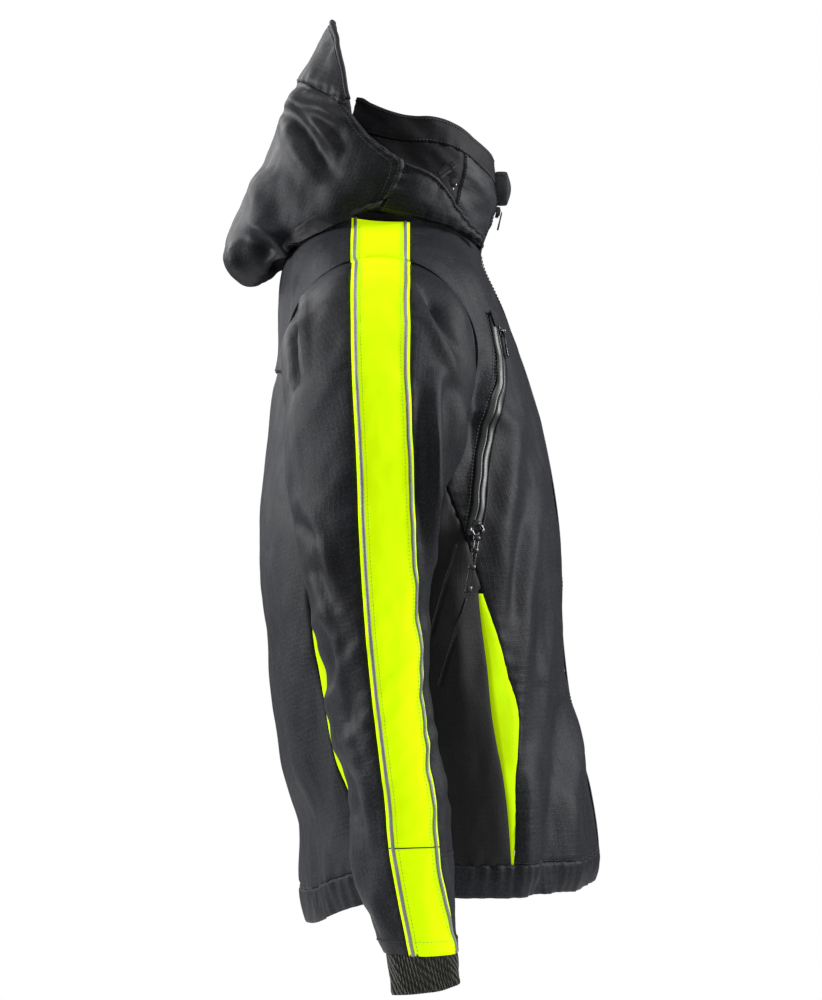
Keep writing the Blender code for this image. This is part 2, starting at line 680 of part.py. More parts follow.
# ---- hood ----
def build_hood():
    middle = 0.30
    split = 0.008

    def centre(u, v):
        return hood_point(mix(-middle, middle, u), v)

    sheet("hood_middle_panel", centre, 4, 12, CHARCOAL)
    for side in (RIGHT, LEFT):
        def outer(u, v, side=side):
            return hood_point(side * mix(middle + split, 1.0, u), v)
        sheet(f"{side_name(side)}_hood_panel", outer, 5, 12, CHARCOAL, side == RIGHT)

    def brim(u, v):
        return hood_point(mix(-0.97, 0.97, u), 0.0, mix(0.05, 1.0, v))

    sheet("hood_brim", brim, 10, 3, CHARCOAL, True)
    for side in (RIGHT, LEFT):
        def flap(u, v, side=side):
            low_x, low_y, low_z, high_x, high_y, high_z = between(HOOD_FLAP, u)
            return Vector((side * mix(low_x, high_x, v), mix(low_y, high_y, v), mix(low_z, high_z, v)))
        sheet(f"{side_name(side)}_hood_flap", flap, 5, 2, CHARCOAL, side == LEFT)

    def root_strip(u, v):
        side = RIGHT if u < 0.5 else LEFT
        share = 1 - abs(2 * u - 1)
        inner = collar_point(mix(100.0, 180.0, share), 0.08, side)
        inner += Vector((0, 0.004 * share, 0)) + Vector((side * 0.004 * (1 - share), 0, 0))
        outer = hood_point(side * mix(0.68, 0.0001, share), 1.0) + Vector((0, -0.008, 0.002))
        return inner.lerp(outer, v) + Vector((0, 0.006, 0.009)) * math.sin(math.pi * v)

    sheet("hood_neck_strip", root_strip, 12, 2, CHARCOAL)


def build_cord_locks():
    for side in (RIGHT, LEFT):
        tag = side_name(side)
        axis = Vector((0, -0.80, 0.60)).normalized()
        place = Vector((side * 0.0925, -0.103, 0.026))
        along = axis.to_track_quat("Z", "Y").to_matrix()
        form = bmesh.new()
        bmesh.ops.create_cone(form, cap_ends=True, segments=20, radius1=0.0052, radius2=0.0052, depth=0.0120)
        rims = [edge for edge in form.edges if abs(edge.verts[0].co.z - edge.verts[1].co.z) < 1e-6]
        bmesh.ops.bevel(form, geom=rims, offset=0.0010, segments=2, affect="EDGES")
        mesh = bpy.data.meshes.new(f"{tag}_cord_lock")
        form.to_mesh(mesh)
        form.free()
        lock = add_object(f"{tag}_cord_lock", mesh, PLASTIC)
        lock.matrix_world = Matrix.Translation(place) @ along.to_4x4()
        form = bmesh.new()
        bmesh.ops.create_cone(form, cap_ends=True, segments=20, radius1=0.0040, radius2=0.0036, depth=0.0040)
        mesh = bpy.data.meshes.new(f"{tag}_lock_button")
        form.to_mesh(mesh)
        form.free()
        button = add_object(f"{tag}_lock_button", mesh, PLASTIC)
        button.matrix_world = Matrix.Translation(place + axis * 0.0108) @ along.to_4x4()


def build_neck():
    outline = (
        (-0.032, 0.0052), (-0.032, -0.0025), (0.032, -0.0025), (0.032, 0.0052),
        (0.026, 0.0052), (0.026, 0.0025), (-0.026, 0.0025), (-0.026, 0.0052),
    )
    extrude_outline("hanger_loop", outline, 0.0, 0.0018, DARK)
    path = []
    for i in range(13):
        degrees = mix(-38.0, 38.0, i / 12)
        point = collar_point(180.0 - abs(degrees), 0.03, RIGHT if degrees < 0 else LEFT, CLOTH + 0.0052)
        outward = Vector((point.x, point.y + 0.062, 0)).normalized()
        path.append((Vector((point.x, point.y, NECK_TAPE_Z)), -outward))
    ribbon("neck_tape", path, 0.012, 0.0, 0.0010, DARK)


# ---- pivots ----
def hang_on_pivot(name, place, names):
    """An empty on a joint's axis; the pieces that turn with it become its children where they stand."""
    pivot = bpy.data.objects.new(name, None)
    pivot.location = place
    bpy.context.scene.collection.objects.link(pivot)
    for piece_name in names:
        piece = bpy.data.objects[piece_name]
        piece.parent = pivot
        piece.matrix_parent_inverse = Matrix.Translation(-Vector(place))


def build_pivots():
    hood = ("hood_middle_panel", "right_hood_panel", "left_hood_panel", "hood_brim")
    hang_on_pivot("hood_pivot", HOOD_PIVOT, hood)
    for side in (RIGHT, LEFT):
        tag = side_name(side)
        names = [piece.name for piece in bpy.data.objects if piece.name.startswith(f"{tag}_sleeve_")]
        place = (side * ARMHOLE_X, ARMHOLE_Y, ARMHOLE_Z)
        hang_on_pivot(f"{tag}_sleeve_pivot", place, names + [f"{tag}_rib_cuff"])


def main():
    clear_scene()
    build_body()
    build_hem()
    build_collar()
    build_main_zip()
    build_chest_zips()
    build_sleeves()
    build_hood()
    build_cord_locks()
    build_neck()
    build_pivots()


main()
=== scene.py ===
import math

import bmesh
import bpy
import numpy as np
from mathutils import Matrix, Vector, noise
from mathutils.bvhtree import BVHTree


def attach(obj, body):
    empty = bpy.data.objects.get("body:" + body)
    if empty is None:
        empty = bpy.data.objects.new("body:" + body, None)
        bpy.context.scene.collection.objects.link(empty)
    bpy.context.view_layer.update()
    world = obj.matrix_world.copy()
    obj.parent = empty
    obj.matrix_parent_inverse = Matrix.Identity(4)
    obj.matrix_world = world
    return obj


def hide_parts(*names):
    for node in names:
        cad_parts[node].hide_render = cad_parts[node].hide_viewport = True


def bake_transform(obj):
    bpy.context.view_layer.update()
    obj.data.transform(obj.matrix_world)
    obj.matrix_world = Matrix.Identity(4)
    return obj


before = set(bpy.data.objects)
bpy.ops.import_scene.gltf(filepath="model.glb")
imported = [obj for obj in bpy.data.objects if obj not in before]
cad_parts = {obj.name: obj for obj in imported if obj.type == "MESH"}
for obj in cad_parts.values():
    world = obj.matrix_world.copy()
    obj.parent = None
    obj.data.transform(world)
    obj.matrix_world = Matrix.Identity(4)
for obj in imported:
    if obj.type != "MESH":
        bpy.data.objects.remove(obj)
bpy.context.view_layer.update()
print("frame loaded")

# ---- camera ----
view = {
    "distance": 3.5,          # from the coat's middle plane
    "middleY": -0.069,
    "middleZ": -0.310,
    "frameHeight": 1.05,      # metres seen from top to bottom at the middle plane
    "sensor": 36.0,
}


def addCamera():
    lens = bpy.data.cameras.new("sideCamera")
    lens.sensor_fit = "VERTICAL"
    lens.sensor_height = view["sensor"]
    lens.lens = view["sensor"] * view["distance"] / view["frameHeight"]
    lens.clip_end = 60
    camera = bpy.data.objects.new("sideCamera", lens)
    camera.location = (-view["distance"], view["middleY"], view["middleZ"])
    camera.rotation_euler = (math.pi / 2, 0, -math.pi / 2)
    bpy.context.scene.collection.objects.link(camera)
    bpy.context.scene.camera = camera


addCamera()
print("camera placed; there are no free cords on this coat")

# ---- the coat's shape: the same stations as its solids ----
# level: half width, side height, front depth, front height, back depth, back height
torso = {
    "rows": (
        (0.000, 0.231, -0.700, -0.262, -0.705, 0.041, -0.746),
        (0.040, 0.237, -0.668, -0.266, -0.675, 0.047, -0.712),
        (0.130, 0.239, -0.605, -0.257, -0.611, 0.050, -0.645),
        (0.220, 0.240, -0.545, -0.242, -0.555, 0.068, -0.579),
        (0.350, 0.240, -0.445, -0.228, -0.450, 0.081, -0.460),
        (0.480, 0.237, -0.350, -0.225, -0.345, 0.090, -0.350),
        (0.600, 0.216, -0.270, -0.210, -0.250, 0.080, -0.240),
        (0.700, 0.195, -0.165, -0.189, -0.175, 0.069, -0.160),
        (0.800, 0.185, -0.085, -0.166, -0.118, 0.066, -0.107),
        (0.870, 0.163, -0.056, -0.152, -0.086, 0.060, -0.062),
        (0.935, 0.124, -0.039, -0.144, -0.064, 0.044, -0.022),
        (1.000, 0.087, -0.022, -0.142, -0.050, 0.020, -0.002),
    ),
    # level: front seam, front insert's rear edge, rear insert's front edge, back seam, in degrees from the front
    "seams": (
        (0.0400, 73.6, 74.6, 112.0, 117.5),
        (0.1370, 69.5, 73.6, 110.0, 118.5),
        (0.1970, 64.6, 72.0, 109.5, 119.5),
        (0.2600, 60.5, 71.4, 110.5, 120.8),
        (0.3330, 63.8, 70.8, 113.5, 122.5),
        (0.4128, 70.0, 71.5, 120.4, 122.0),
    ),
    "hemBack": 117.5,
    "stripeFrontY": -0.0672,
    "stripeBackY": -0.0086,
    "insertTop": 0.412,
    "zipHalf": 0.0085,
    "armholeY": -0.037,
    "armholeZ": -0.165,
    "armholeRadius": 0.0975,
    "wall": 0.0022,
}
collar = {
    "rows": (
        (0.0, 0.086, -0.018, -0.143, -0.046, 0.019, 0.002),
        (0.5, 0.083, 0.036, -0.158, 0.000, 0.004, 0.055),
        (1.0, 0.078, 0.084, -0.154, 0.046, -0.013, 0.112),
    ),
    # turn from the front after which the collar is drawn in darker ripstop, round to the back; before it, the lighter
    # front ripstop
    "darkFrom": 57.0,
}
# station: inner x, inner z, outer x, outer z, middle y, half depth, tuck of the seam
sleeve = {
    "rows": (
        (0.000, 0.2040, -0.2580, 0.1680, -0.0720, -0.037, 0.0930, 0.020),
        (0.035, 0.2300, -0.2580, 0.1880, -0.0725, -0.037, 0.0930, 0.012),
        (0.080, 0.2460, -0.2760, 0.2200, -0.0770, -0.036, 0.0950, 0.004),
        (0.140, 0.2470, -0.2960, 0.2620, -0.0960, -0.034, 0.0910, 0.000),
        (0.210, 0.2480, -0.3180, 0.3000, -0.1350, -0.032, 0.0870, 0.000),
        (0.280, 0.2480, -0.3420, 0.3280, -0.1880, -0.030, 0.0830, 0.000),
        (0.360, 0.2480, -0.3740, 0.3460, -0.2560, -0.028, 0.0760, 0.000),
        (0.450, 0.2480, -0.4160, 0.3550, -0.3400, -0.026, 0.0650, 0.000),
        (0.550, 0.2480, -0.4700, 0.3580, -0.4250, -0.030, 0.0570, 0.000),
        (0.660, 0.2490, -0.5320, 0.3570, -0.5080, -0.039, 0.0540, 0.000),
        (0.780, 0.2500, -0.6000, 0.3530, -0.5920, -0.053, 0.0515, 0.000),
        (0.890, 0.2530, -0.6650, 0.3470, -0.6640, -0.063, 0.0470, 0.000),
        (1.000, 0.2610, -0.7430, 0.3390, -0.7430, -0.078, 0.0350, 0.000),
    ),
    # station: the stripe's lead to the front, its half width
    "stripe": (
        (0.00, 0.0010, 0.0285),
        (0.25, 0.0090, 0.0280),
        (0.45, 0.0200, 0.0262),
        (0.65, 0.0205, 0.0258),
        (0.85, 0.0125, 0.0236),
        (1.00, 0.0120, 0.0232),
    ),
    "crossSeam": 0.865,
    "wall": 0.0022,
}
# station along the hood's middle: middle y, z, side half width, side y, z
hood = {
    "rows": (
        (0.00, 0.0500, 0.1250, 0.110, -0.0040, 0.0890),
        (0.15, 0.0670, 0.0840, 0.116, -0.0270, 0.0600),
        (0.30, 0.0870, 0.0420, 0.120, -0.0480, 0.0430),
        (0.45, 0.1100, 0.0000, 0.122, -0.0620, 0.0320),
        (0.58, 0.1270, -0.0490, 0.122, -0.0540, 0.0080),
        (0.66, 0.1250, -0.0660, 0.121, -0.0480, -0.0010),
        (0.74, 0.1120, -0.0800, 0.120, -0.0380, -0.0080),
        (0.84, 0.0950, -0.0830, 0.118, -0.0200, -0.0120),
        (0.93, 0.0800, -0.0700, 0.116, 0.0000, -0.0160),
        (1.00, 0.0720, -0.0480, 0.114, 0.0240, -0.0180),
    ),
    "brimEdge": (0.0116, 0.1900, 0.107, -0.0060, 0.0940),
    "flap": (
        (0.00, 0.1120, -0.0360, -0.0160, 0.1090, -0.0620, 0.0320),
        (0.35, 0.1060, -0.0760, -0.0240, 0.1000, -0.0960, 0.0170),
        (0.70, 0.0880, -0.1120, -0.0330, 0.0860, -0.1180, -0.0130),
        (1.00, 0.0600, -0.1430, -0.0460, 0.0590, -0.1440, -0.0400),
    ),
    "middleShare": 0.12,
    "wall": 0.0024,
}
sides = (("right", -1), ("left", 1))


def between(rows, at):
    table = np.array(rows, float)
    at = np.asarray(at, float)
    i = np.clip(np.searchsorted(table[:, 0], at, side="left") - 1, 0, len(table) - 2)
    first, second = table[i], table[i + 1]
    before = table[np.maximum(i - 1, 0)]
    after = table[np.minimum(i + 2, len(table) - 1)]
    span = (second[..., 0] - first[..., 0])[..., None]
    t = (at[..., None] - first[..., :1]) / span
    slopeIn = (second[..., 1:] - before[..., 1:]) / (second[..., :1] - before[..., :1]) * span
    slopeOut = (after[..., 1:] - first[..., 1:]) / (after[..., :1] - first[..., :1]) * span
    a, b = first[..., 1:], second[..., 1:]
    found = (
        (2 * t**3 - 3 * t**2 + 1) * a + (t**3 - 2 * t**2 + t) * slopeIn
        + (3 * t**2 - 2 * t**3) * b + (t**3 - t**2) * slopeOut
    )
    return [found[..., column] for column in range(found.shape[-1])]


def signedPower(value, power):
    return np.sign(value) * np.abs(value) ** power


def mix(a, b, share):
    return a + (b - a) * share


def smooth(low, high, value):
    t = np.clip((value - low) / (high - low), 0, 1)
    return t * t * (3 - 2 * t)


def ringPoint(rows, degrees, level, side, frontSquare, backSquare):
    half, sideZ, frontY, frontZ, backY, backZ = between(rows, level)
    turn = np.radians(degrees)
    cosine, sine = np.cos(turn), np.sin(turn)
    square = mix(backSquare, frontSquare, (1 + cosine) / 2)
    middleY, halfDepth = (frontY + backY) / 2, (backY - frontY) / 2
    endZ = np.where(cosine > 0, frontZ, backZ)
    return np.stack((
        side * half * signedPower(sine, square),
        middleY - halfDepth * signedPower(cosine, square),
        mix(sideZ, endZ, cosine**2),
    ), -1)


def torsoPoint(degrees, level, side):
    flat = np.where(level < 0.8, 0.62, mix(0.62, 0.95, (level - 0.8) / 0.2))
    return ringPoint(torso["rows"], degrees, level, side, 0.84, flat)


def collarPoint(degrees, level, side, inset=0.0):
    point = ringPoint(collar["rows"], degrees, level, side, 0.95, 0.95)
    level = np.broadcast_to(level, point.shape[:-1])
    middle = np.stack((np.zeros_like(level), mix(-0.062, -0.084, level), point[..., 2]), -1)
    inward = middle - point
    return point + inward / np.linalg.norm(inward, axis=-1, keepdims=True) * inset


def sleevePoint(degrees, station, side):
    innerX, innerZ, outerX, outerZ, middleY, halfDepth, tuck = between(sleeve["rows"], station)
    turn = np.radians(degrees)
    cosine, sine = np.cos(turn), np.sin(turn)
    along = (1 + cosine) / 2
    return np.stack((
        side * (mix(innerX, outerX, along) - tuck * sine**2),
        middleY - halfDepth * sine,
        mix(innerZ, outerZ, along),
    ), -1)


def stripeEdge(station, front):
    halfDepth = between(sleeve["rows"], station)[5]
    lead, half = between(sleeve["stripe"], station)
    reach = lead + (half if front else -half)
    return np.degrees(np.arcsin(np.clip(reach / halfDepth, -0.97, 0.97)))


def hoodPoint(across, station, brim=0.0):
    row = between(hood["rows"], station)
    row = [mix(value, edge, brim) for value, edge in zip(row, hood["brimEdge"])]
    middleY, middleZ, half, sideY, sideZ = row
    turn = np.abs(across) * math.pi / 2
    fall = 1 - np.cos(turn)
    return np.stack((
        np.sign(across) * half * np.sin(turn) ** 0.85,
        mix(middleY, sideY, fall),
        mix(middleZ, sideZ, fall),
    ), -1)


# ---- folds and creases ----
# each: the line it runs along as (y, z) points, its half width, its height (a valley is negative)
folds = {
    "strength": 1.25,
    "torso": (
        (((-0.178, -0.215), (-0.160, -0.330), (-0.158, -0.470)), 0.012, 0.0070),
        (((-0.200, -0.280), (-0.184, -0.400), (-0.170, -0.560)), 0.011, 0.0075),
        (((-0.190, -0.300), (-0.170, -0.420)), 0.009, -0.0065),
        (((-0.216, -0.400), (-0.200, -0.560), (-0.194, -0.680)), 0.010, 0.0070),
        (((-0.222, -0.520), (-0.216, -0.680)), 0.009, -0.0060),
        (((-0.240, -0.500), (-0.232, -0.690)), 0.009, 0.0060),
        (((-0.200, -0.500), (-0.206, -0.690)), 0.008, -0.0060),
        (((-0.185, -0.560), (-0.180, -0.700)), 0.008, 0.0055),
        (((-0.110, -0.215), (-0.150, -0.222), (-0.170, -0.240)), 0.008, 0.0040),
        (((-0.110, -0.400), (-0.120, -0.520)), 0.014, 0.0060),
        (((-0.125, -0.150), (-0.112, -0.260), (-0.095, -0.330)), 0.011, 0.0060),
        (((-0.140, -0.170), (-0.128, -0.250)), 0.008, -0.0050),
        (((0.060, -0.200), (0.045, -0.380), (0.050, -0.520)), 0.020, 0.0050),
        (((0.030, -0.480), (0.020, -0.640)), 0.014, -0.0040),
    ),
    "sleeve": (
        (((-0.088, -0.205), (-0.086, -0.370)), 0.0045, 0.0050),
        (((-0.078, -0.200), (-0.078, -0.350)), 0.0050, -0.0030),
        (((-0.084, -0.088), (-0.104, -0.110), (-0.124, -0.140)), 0.006, 0.0070),
        (((-0.080, -0.104), (-0.100, -0.130), (-0.118, -0.168)), 0.005, -0.0075),
        (((-0.078, -0.124), (-0.096, -0.158), (-0.112, -0.196)), 0.006, 0.0065),
        (((-0.092, -0.120), (-0.098, -0.145)), 0.005, -0.0110),
        (((-0.094, -0.190), (-0.088, -0.260), (-0.086, -0.370)), 0.0055, 0.0070),
        (((-0.104, -0.200), (-0.106, -0.280), (-0.100, -0.360)), 0.006, -0.0060),
        (((-0.116, -0.220), (-0.116, -0.300)), 0.006, 0.0055),
        (((0.036, -0.115), (0.038, -0.190)), 0.0050, 0.0060),
        (((0.046, -0.120), (0.044, -0.195)), 0.0045, -0.0140),
        (((0.034, -0.310), (0.012, -0.360), (0.006, -0.400)), 0.007, 0.0055),
        (((0.040, -0.330), (0.018, -0.350)), 0.006, -0.0045),
        (((0.026, -0.390), (0.006, -0.440), (-0.002, -0.500)), 0.007, 0.0060),
        (((0.022, -0.370), (0.004, -0.410)), 0.006, -0.0050),
        (((0.010, -0.430), (0.016, -0.500)), 0.007, -0.0050),
        (((0.000, -0.520), (-0.022, -0.580), (-0.030, -0.640)), 0.007, 0.0055),
        (((0.004, -0.560), (-0.014, -0.620)), 0.006, -0.0045),
        (((-0.006, -0.620), (-0.024, -0.700)), 0.006, 0.0045),
        (((-0.028, -0.680), (-0.050, -0.730)), 0.008, 0.0040),
    ),
    "hood": (
        (((0.062, 0.100), (0.020, 0.088), (-0.004, 0.074)), 0.006, 0.0050),
        (((0.045, 0.092), (0.020, 0.064), (0.006, 0.046)), 0.006, 0.0055),
        (((0.056, 0.094), (0.034, 0.060), (0.010, 0.020)), 0.007, -0.0060),
        (((0.066, 0.094), (0.052, 0.050), (0.030, 0.018)), 0.009, 0.0050),
        (((0.090, 0.020), (0.082, -0.030), (0.100, -0.060)), 0.012, 0.0060),
        (((0.098, -0.040), (0.074, -0.062)), 0.008, -0.0120),
        (((0.088, -0.030), (0.070, -0.040), (0.056, -0.062)), 0.006, 0.0080),
        (((0.112, -0.048), (0.104, -0.070)), 0.006, 0.0090),
        (((0.060, -0.044), (0.046, -0.062)), 0.006, -0.0070),
        (((0.052, 0.108), (0.040, 0.098)), 0.008, 0.0060),
        (((0.050, 0.120), (0.010, 0.104)), 0.004, -0.0035),
        (((0.040, -0.030), (0.000, 0.000), (-0.030, 0.020)), 0.016, 0.0040),
    ),
}


def nearLine(points, line):
    best = np.full(points.shape[0], 1e9)
    place = np.zeros(points.shape[0])
    count = len(line) - 1
    for i in range(count):
        a, b = np.array(line[i]), np.array(line[i + 1])
        along = b - a
        t = np.clip(((points - a) @ along) / (along @ along), 0, 1)
        away = np.linalg.norm(points - a - t[:, None] * along, axis=1)
        closer = away < best
        best = np.where(closer, away, best)
        place = np.where(closer, (i + t) / count, place)
    return best, place


def foldHeight(points, name):
    flat = points[:, 1:3]
    height = np.zeros(len(points))
    for line, width, rise in folds[name]:
        away, place = nearLine(flat, line)
        taper = np.clip(np.sin(math.pi * np.clip(place * 0.86 + 0.07, 0, 1)), 0, 1) ** 0.6
        height += rise * folds["strength"] * np.exp(-((away / width) ** 2)) * taper
    return height


def softNoise(points, scale, seed, octaves=2):
    scale = np.array(scale)
    found = np.zeros(len(points))
    for i, point in enumerate(points * scale + seed * 7.31):
        found[i] = noise.fractal(point, 1.0, 2.0, octaves)
    return found


def gridNormals(points):
    along = np.gradient(points, axis=1)
    up = np.gradient(points, axis=0)
    normal = np.cross(along, up)
    length = np.linalg.norm(normal, axis=-1, keepdims=True)
    return normal / np.maximum(length, 1e-12)


def arcLengths(points):
    stepU = np.linalg.norm(np.diff(points, axis=1), axis=-1)
    stepV = np.linalg.norm(np.diff(points, axis=0), axis=-1)
    u = np.concatenate((np.zeros((points.shape[0], 1)), np.cumsum(stepU, 1)), 1)
    v = np.concatenate((np.zeros((1, points.shape[1])), np.cumsum(stepV, 0)), 0)
    return u - u[:, points.shape[1] // 2][:, None], v


def panelArea(points):
    a = points[1:, 1:] - points[:-1, :-1]
    b = points[:-1, 1:] - points[1:, :-1]
    return float(np.linalg.norm(np.cross(a, b), axis=-1).sum() / 2)


def clothObject(name, points, wall, outside, inside, flip=False, keep=None, inner=None):
    # points: rows by columns by xyz of the outer face
    rows, columns = points.shape[:2]
    if flip:
        points = points[:, ::-1]
        keep = None if keep is None else keep[:, ::-1]
        inner = None if inner is None else inner[:, ::-1]
    if inner is None:
        inner = points - gridNormals(points) * wall
    u, v = arcLengths(points)
    index = np.arange(rows * columns).reshape(rows, columns)
    total = rows * columns
    quads = np.stack((index[:-1, :-1], index[:-1, 1:], index[1:, 1:], index[1:, :-1]), -1)
    if keep is not None:
        cells = keep[:-1, :-1] & keep[:-1, 1:] & keep[1:, 1:] & keep[1:, :-1]
        quads = quads[cells]
    outerFaces = quads.reshape(-1, 4)
    innerFaces = outerFaces[:, ::-1] + total
    ends = np.concatenate([outerFaces[:, [i, (i + 1) % 4]] for i in range(4)])
    codes = ends[:, 0].astype(np.int64) * total * 4 + ends[:, 1]
    back = ends[:, 1].astype(np.int64) * total * 4 + ends[:, 0]
    border = ends[~np.isin(codes, back)]
    rim = np.stack((border[:, 1], border[:, 0], border[:, 0] + total, border[:, 1] + total), -1)
    faces = np.concatenate((outerFaces, innerFaces, rim))
    places = np.concatenate((points.reshape(-1, 3), inner.reshape(-1, 3)))
    used = np.unique(faces)
    renumber = np.full(len(places), -1)
    renumber[used] = np.arange(len(used))
    faces = renumber[faces]
    mesh = bpy.data.meshes.new(name)
    mesh.from_pydata(places[used].tolist(), [], faces.tolist())
    uvs = np.concatenate((np.stack((u, v), -1).reshape(-1, 2),) * 2)[used]
    layer = mesh.uv_layers.new(name="cloth")
    loops = np.empty(len(mesh.loops), np.int32)
    mesh.loops.foreach_get("vertex_index", loops)
    layer.data.foreach_set("uv", uvs[loops].astype(np.float32).ravel())
    mesh.materials.append(materials[outside])
    mesh.materials.append(materials[inside])
    slots = np.zeros(len(faces), np.int32)
    slots[len(outerFaces):len(outerFaces) * 2] = 1
    mesh.polygons.foreach_set("material_index", slots)
    mesh.polygons.foreach_set("use_smooth", np.ones(len(faces), bool))
    mesh.update()
    made = bpy.data.objects.new(name, mesh)
    bpy.context.scene.collection.objects.link(made)
    return made


def declareSheet(points):
    width = float(np.linalg.norm(np.diff(points, axis=1), axis=-1).sum(1).max())
    height = float(np.linalg.norm(np.diff(points, axis=0), axis=-1).sum(0).max())
    area = min(panelArea(points), width * height)


def paramGrid(rows, columns):
    v, u = np.meshgrid(np.linspace(0, 1, rows), np.linspace(0, 1, columns), indexing="ij")
    return u, v


# ---- shader helper: maths on sockets as plain expressions ----
class Value:
    def __init__(self, tree, socket):
        self.tree = tree
        self.socket = socket

    def join(self, operation, *others):
        node = self.tree.nodes.new("ShaderNodeMath")
        node.operation = operation
        for place, item in zip(node.inputs, (self,) + others):
            if isinstance(item, Value):
                self.tree.links.new(item.socket, place)
            else:
                place.default_value = item
        return Value(self.tree, node.outputs[0])

    def __add__(self, other):
        return self.join("ADD", other)

    __radd__ = __add__

    def __sub__(self, other):
        return self.join("SUBTRACT", other)

    def __rsub__(self, other):
        return (self * -1) + other

    def __mul__(self, other):
        return self.join("MULTIPLY", other)

    __rmul__ = __mul__

    def __truediv__(self, other):
        return self.join("DIVIDE", other)

    def __rtruediv__(self, other):
        return self.join("POWER", -1.0) * other

    def __pow__(self, other):
        return self.join("POWER", other)

    def sin(self):
        return self.join("SINE")

    def mod(self, other):
        return self.join("FLOORED_MODULO", other)

    def size(self):
        return self.join("ABSOLUTE")

    def low(self, other):
        return self.join("MINIMUM", other)

    def high(self, other):
        return self.join("MAXIMUM", other)

    def clamp(self):
        node = self.join("ADD", 0.0)
        node.socket.node.use_clamp = True
        return node


class Look:
    def __init__(self, name):
        self.material = bpy.data.materials.new(name)
        self.material.use_nodes = True
        self.tree = self.material.node_tree
        self.shader = self.tree.nodes["Principled BSDF"]
        place = self.node("ShaderNodeTexCoord")
        self.uv = place.outputs["UV"]
        self.spot = place.outputs["Object"]

    def node(self, kind, settings=None, **sockets):
        made = self.tree.nodes.new(kind)
        for name, value in (settings or {}).items():
            setattr(made, name, value)
        for name, value in sockets.items():
            wanted = name.replace("_", " ")
            place = next(s for s in made.inputs if s.name == wanted and s.enabled)
            self.feed(place, value)
        return made

    def feed(self, place, value):
        if isinstance(value, Value):
            value = value.socket
        if isinstance(value, bpy.types.NodeSocket):
            self.tree.links.new(value, place)
        elif isinstance(value, tuple) and len(value) == 3 and place.type == "RGBA":
            place.default_value = value + (1.0,)
        else:
            place.default_value = value

    def set(self, **values):
        for name, value in values.items():
            self.feed(self.shader.inputs[name.replace("_", " ")], value)

    def clothSteps(self):
        parts = self.node("ShaderNodeSeparateXYZ", Vector=self.uv)
        return Value(self.tree, parts.outputs[0]) * 1000.0, Value(self.tree, parts.outputs[1]) * 1000.0

    def noise(self, scale, detail=2.0, rough=0.5, uv=False, stretch=(1, 1, 1)):
        moved = self.node("ShaderNodeMapping", Vector=self.uv if uv else self.spot, Scale=stretch)
        made = self.node(
            "ShaderNodeTexNoise", Vector=moved.outputs[0], Scale=scale, Detail=detail, Roughness=rough
        )
        return Value(self.tree, made.outputs[0])

    def blend(self, share, first, second):
        made = self.node("ShaderNodeMix", {"data_type": "RGBA"}, Factor=share, A=first, B=second)
        return made.outputs["Result"] if made.outputs["Result"].enabled else made.outputs[2]

    def bump(self, height, strength, distance):
        made = self.node("ShaderNodeBump", Height=height, Strength=strength, Distance=distance)
        self.feed(self.shader.inputs["Normal"], made.outputs[0])


looks = {
    "shellDark": (0.0034, 0.0034, 0.0058),
    # light end of the shell's random weave tone; its blue tint is a painted sheen
    "shellLight": (0.0200, 0.0235, 0.0310),
    "gridStep": 5.2,          # millimetres between ripstop ribs
    "weaveStep": 0.9,
    "fluorescent": (0.40, 0.66, 0.0),
    "fluorescentShade": (0.34, 0.60, 0.001),
    "reflective": (0.36, 0.37, 0.36),
    "rib": (0.017, 0.017, 0.011),
    "ribStep": 3.4,
    "coated": (0.007, 0.008, 0.008),
    "lining": (0.030, 0.030, 0.034),
    "enamel": (0.018, 0.018, 0.020),
    "plastic": (0.014, 0.014, 0.016),
    "thread": (0.030, 0.030, 0.036),
}


def ripstop(name, dark, light, gloss=0.50):
    look = Look(name)
    across, up = look.clothSteps()
    ribU = 1 - ((across.mod(looks["gridStep"]) - looks["gridStep"] / 2).size() / 0.45).low(1.0)
    ribV = 1 - ((up.mod(looks["gridStep"]) - looks["gridStep"] / 2).size() / 0.45).low(1.0)
    rib = ribU.high(ribV)
    weave = (across * (2 * math.pi / looks["weaveStep"])).sin() * (up * (2 * math.pi / looks["weaveStep"])).sin()
    cloudy = look.noise(6.0, 3.0)
    fine = look.noise(60.0, 2.0)
    fleck = look.noise(520.0, 2.0, 0.6)
    share = ((cloudy - 0.42) * 0.9 + (fine - 0.5) * 0.3 + (fleck - 0.46) * 2.6 + rib * 0.35).clamp()
    look.set(Base_Color=look.blend(share, dark, light), Specular_IOR_Level=0.26)
    look.set(Roughness=(cloudy * 0.16 + gloss - 0.06 + fine * 0.10).clamp())
    crumple = look.noise(30.0, 4.0, 0.6)
    height = rib * 0.16 + weave * 0.06 + crumple * 1.2 + fleck * 0.25
    look.bump(height, 0.6, 0.001)
    return look.material


def fluorescentCloth(name, paintedGlow):
    look = Look(name)
    across, up = look.clothSteps()
    weave = (across * (2 * math.pi / 1.1)).sin() * (up * (2 * math.pi / 1.1)).sin()
    cloudy = look.noise(9.0, 3.0)
    share = ((cloudy - 0.46) * 0.8 + weave * 0.08 + 0.1).clamp()
    tint = look.blend(share, looks["fluorescent"], looks["fluorescentShade"])
    look.set(Base_Color=tint, Roughness=0.75, Specular_IOR_Level=0.05)
    # painted glow: the emission makes the fluorescent cloth give off light of its own, evening out its brightness
    look.set(Emission_Color=(0.66, 0.90, 0.0), Emission_Strength=paintedGlow)
    crumple = look.noise(34.0, 3.0, 0.55)
    look.bump(weave * 0.05 + crumple * 1.6, 0.5, 0.001)
    return look.material


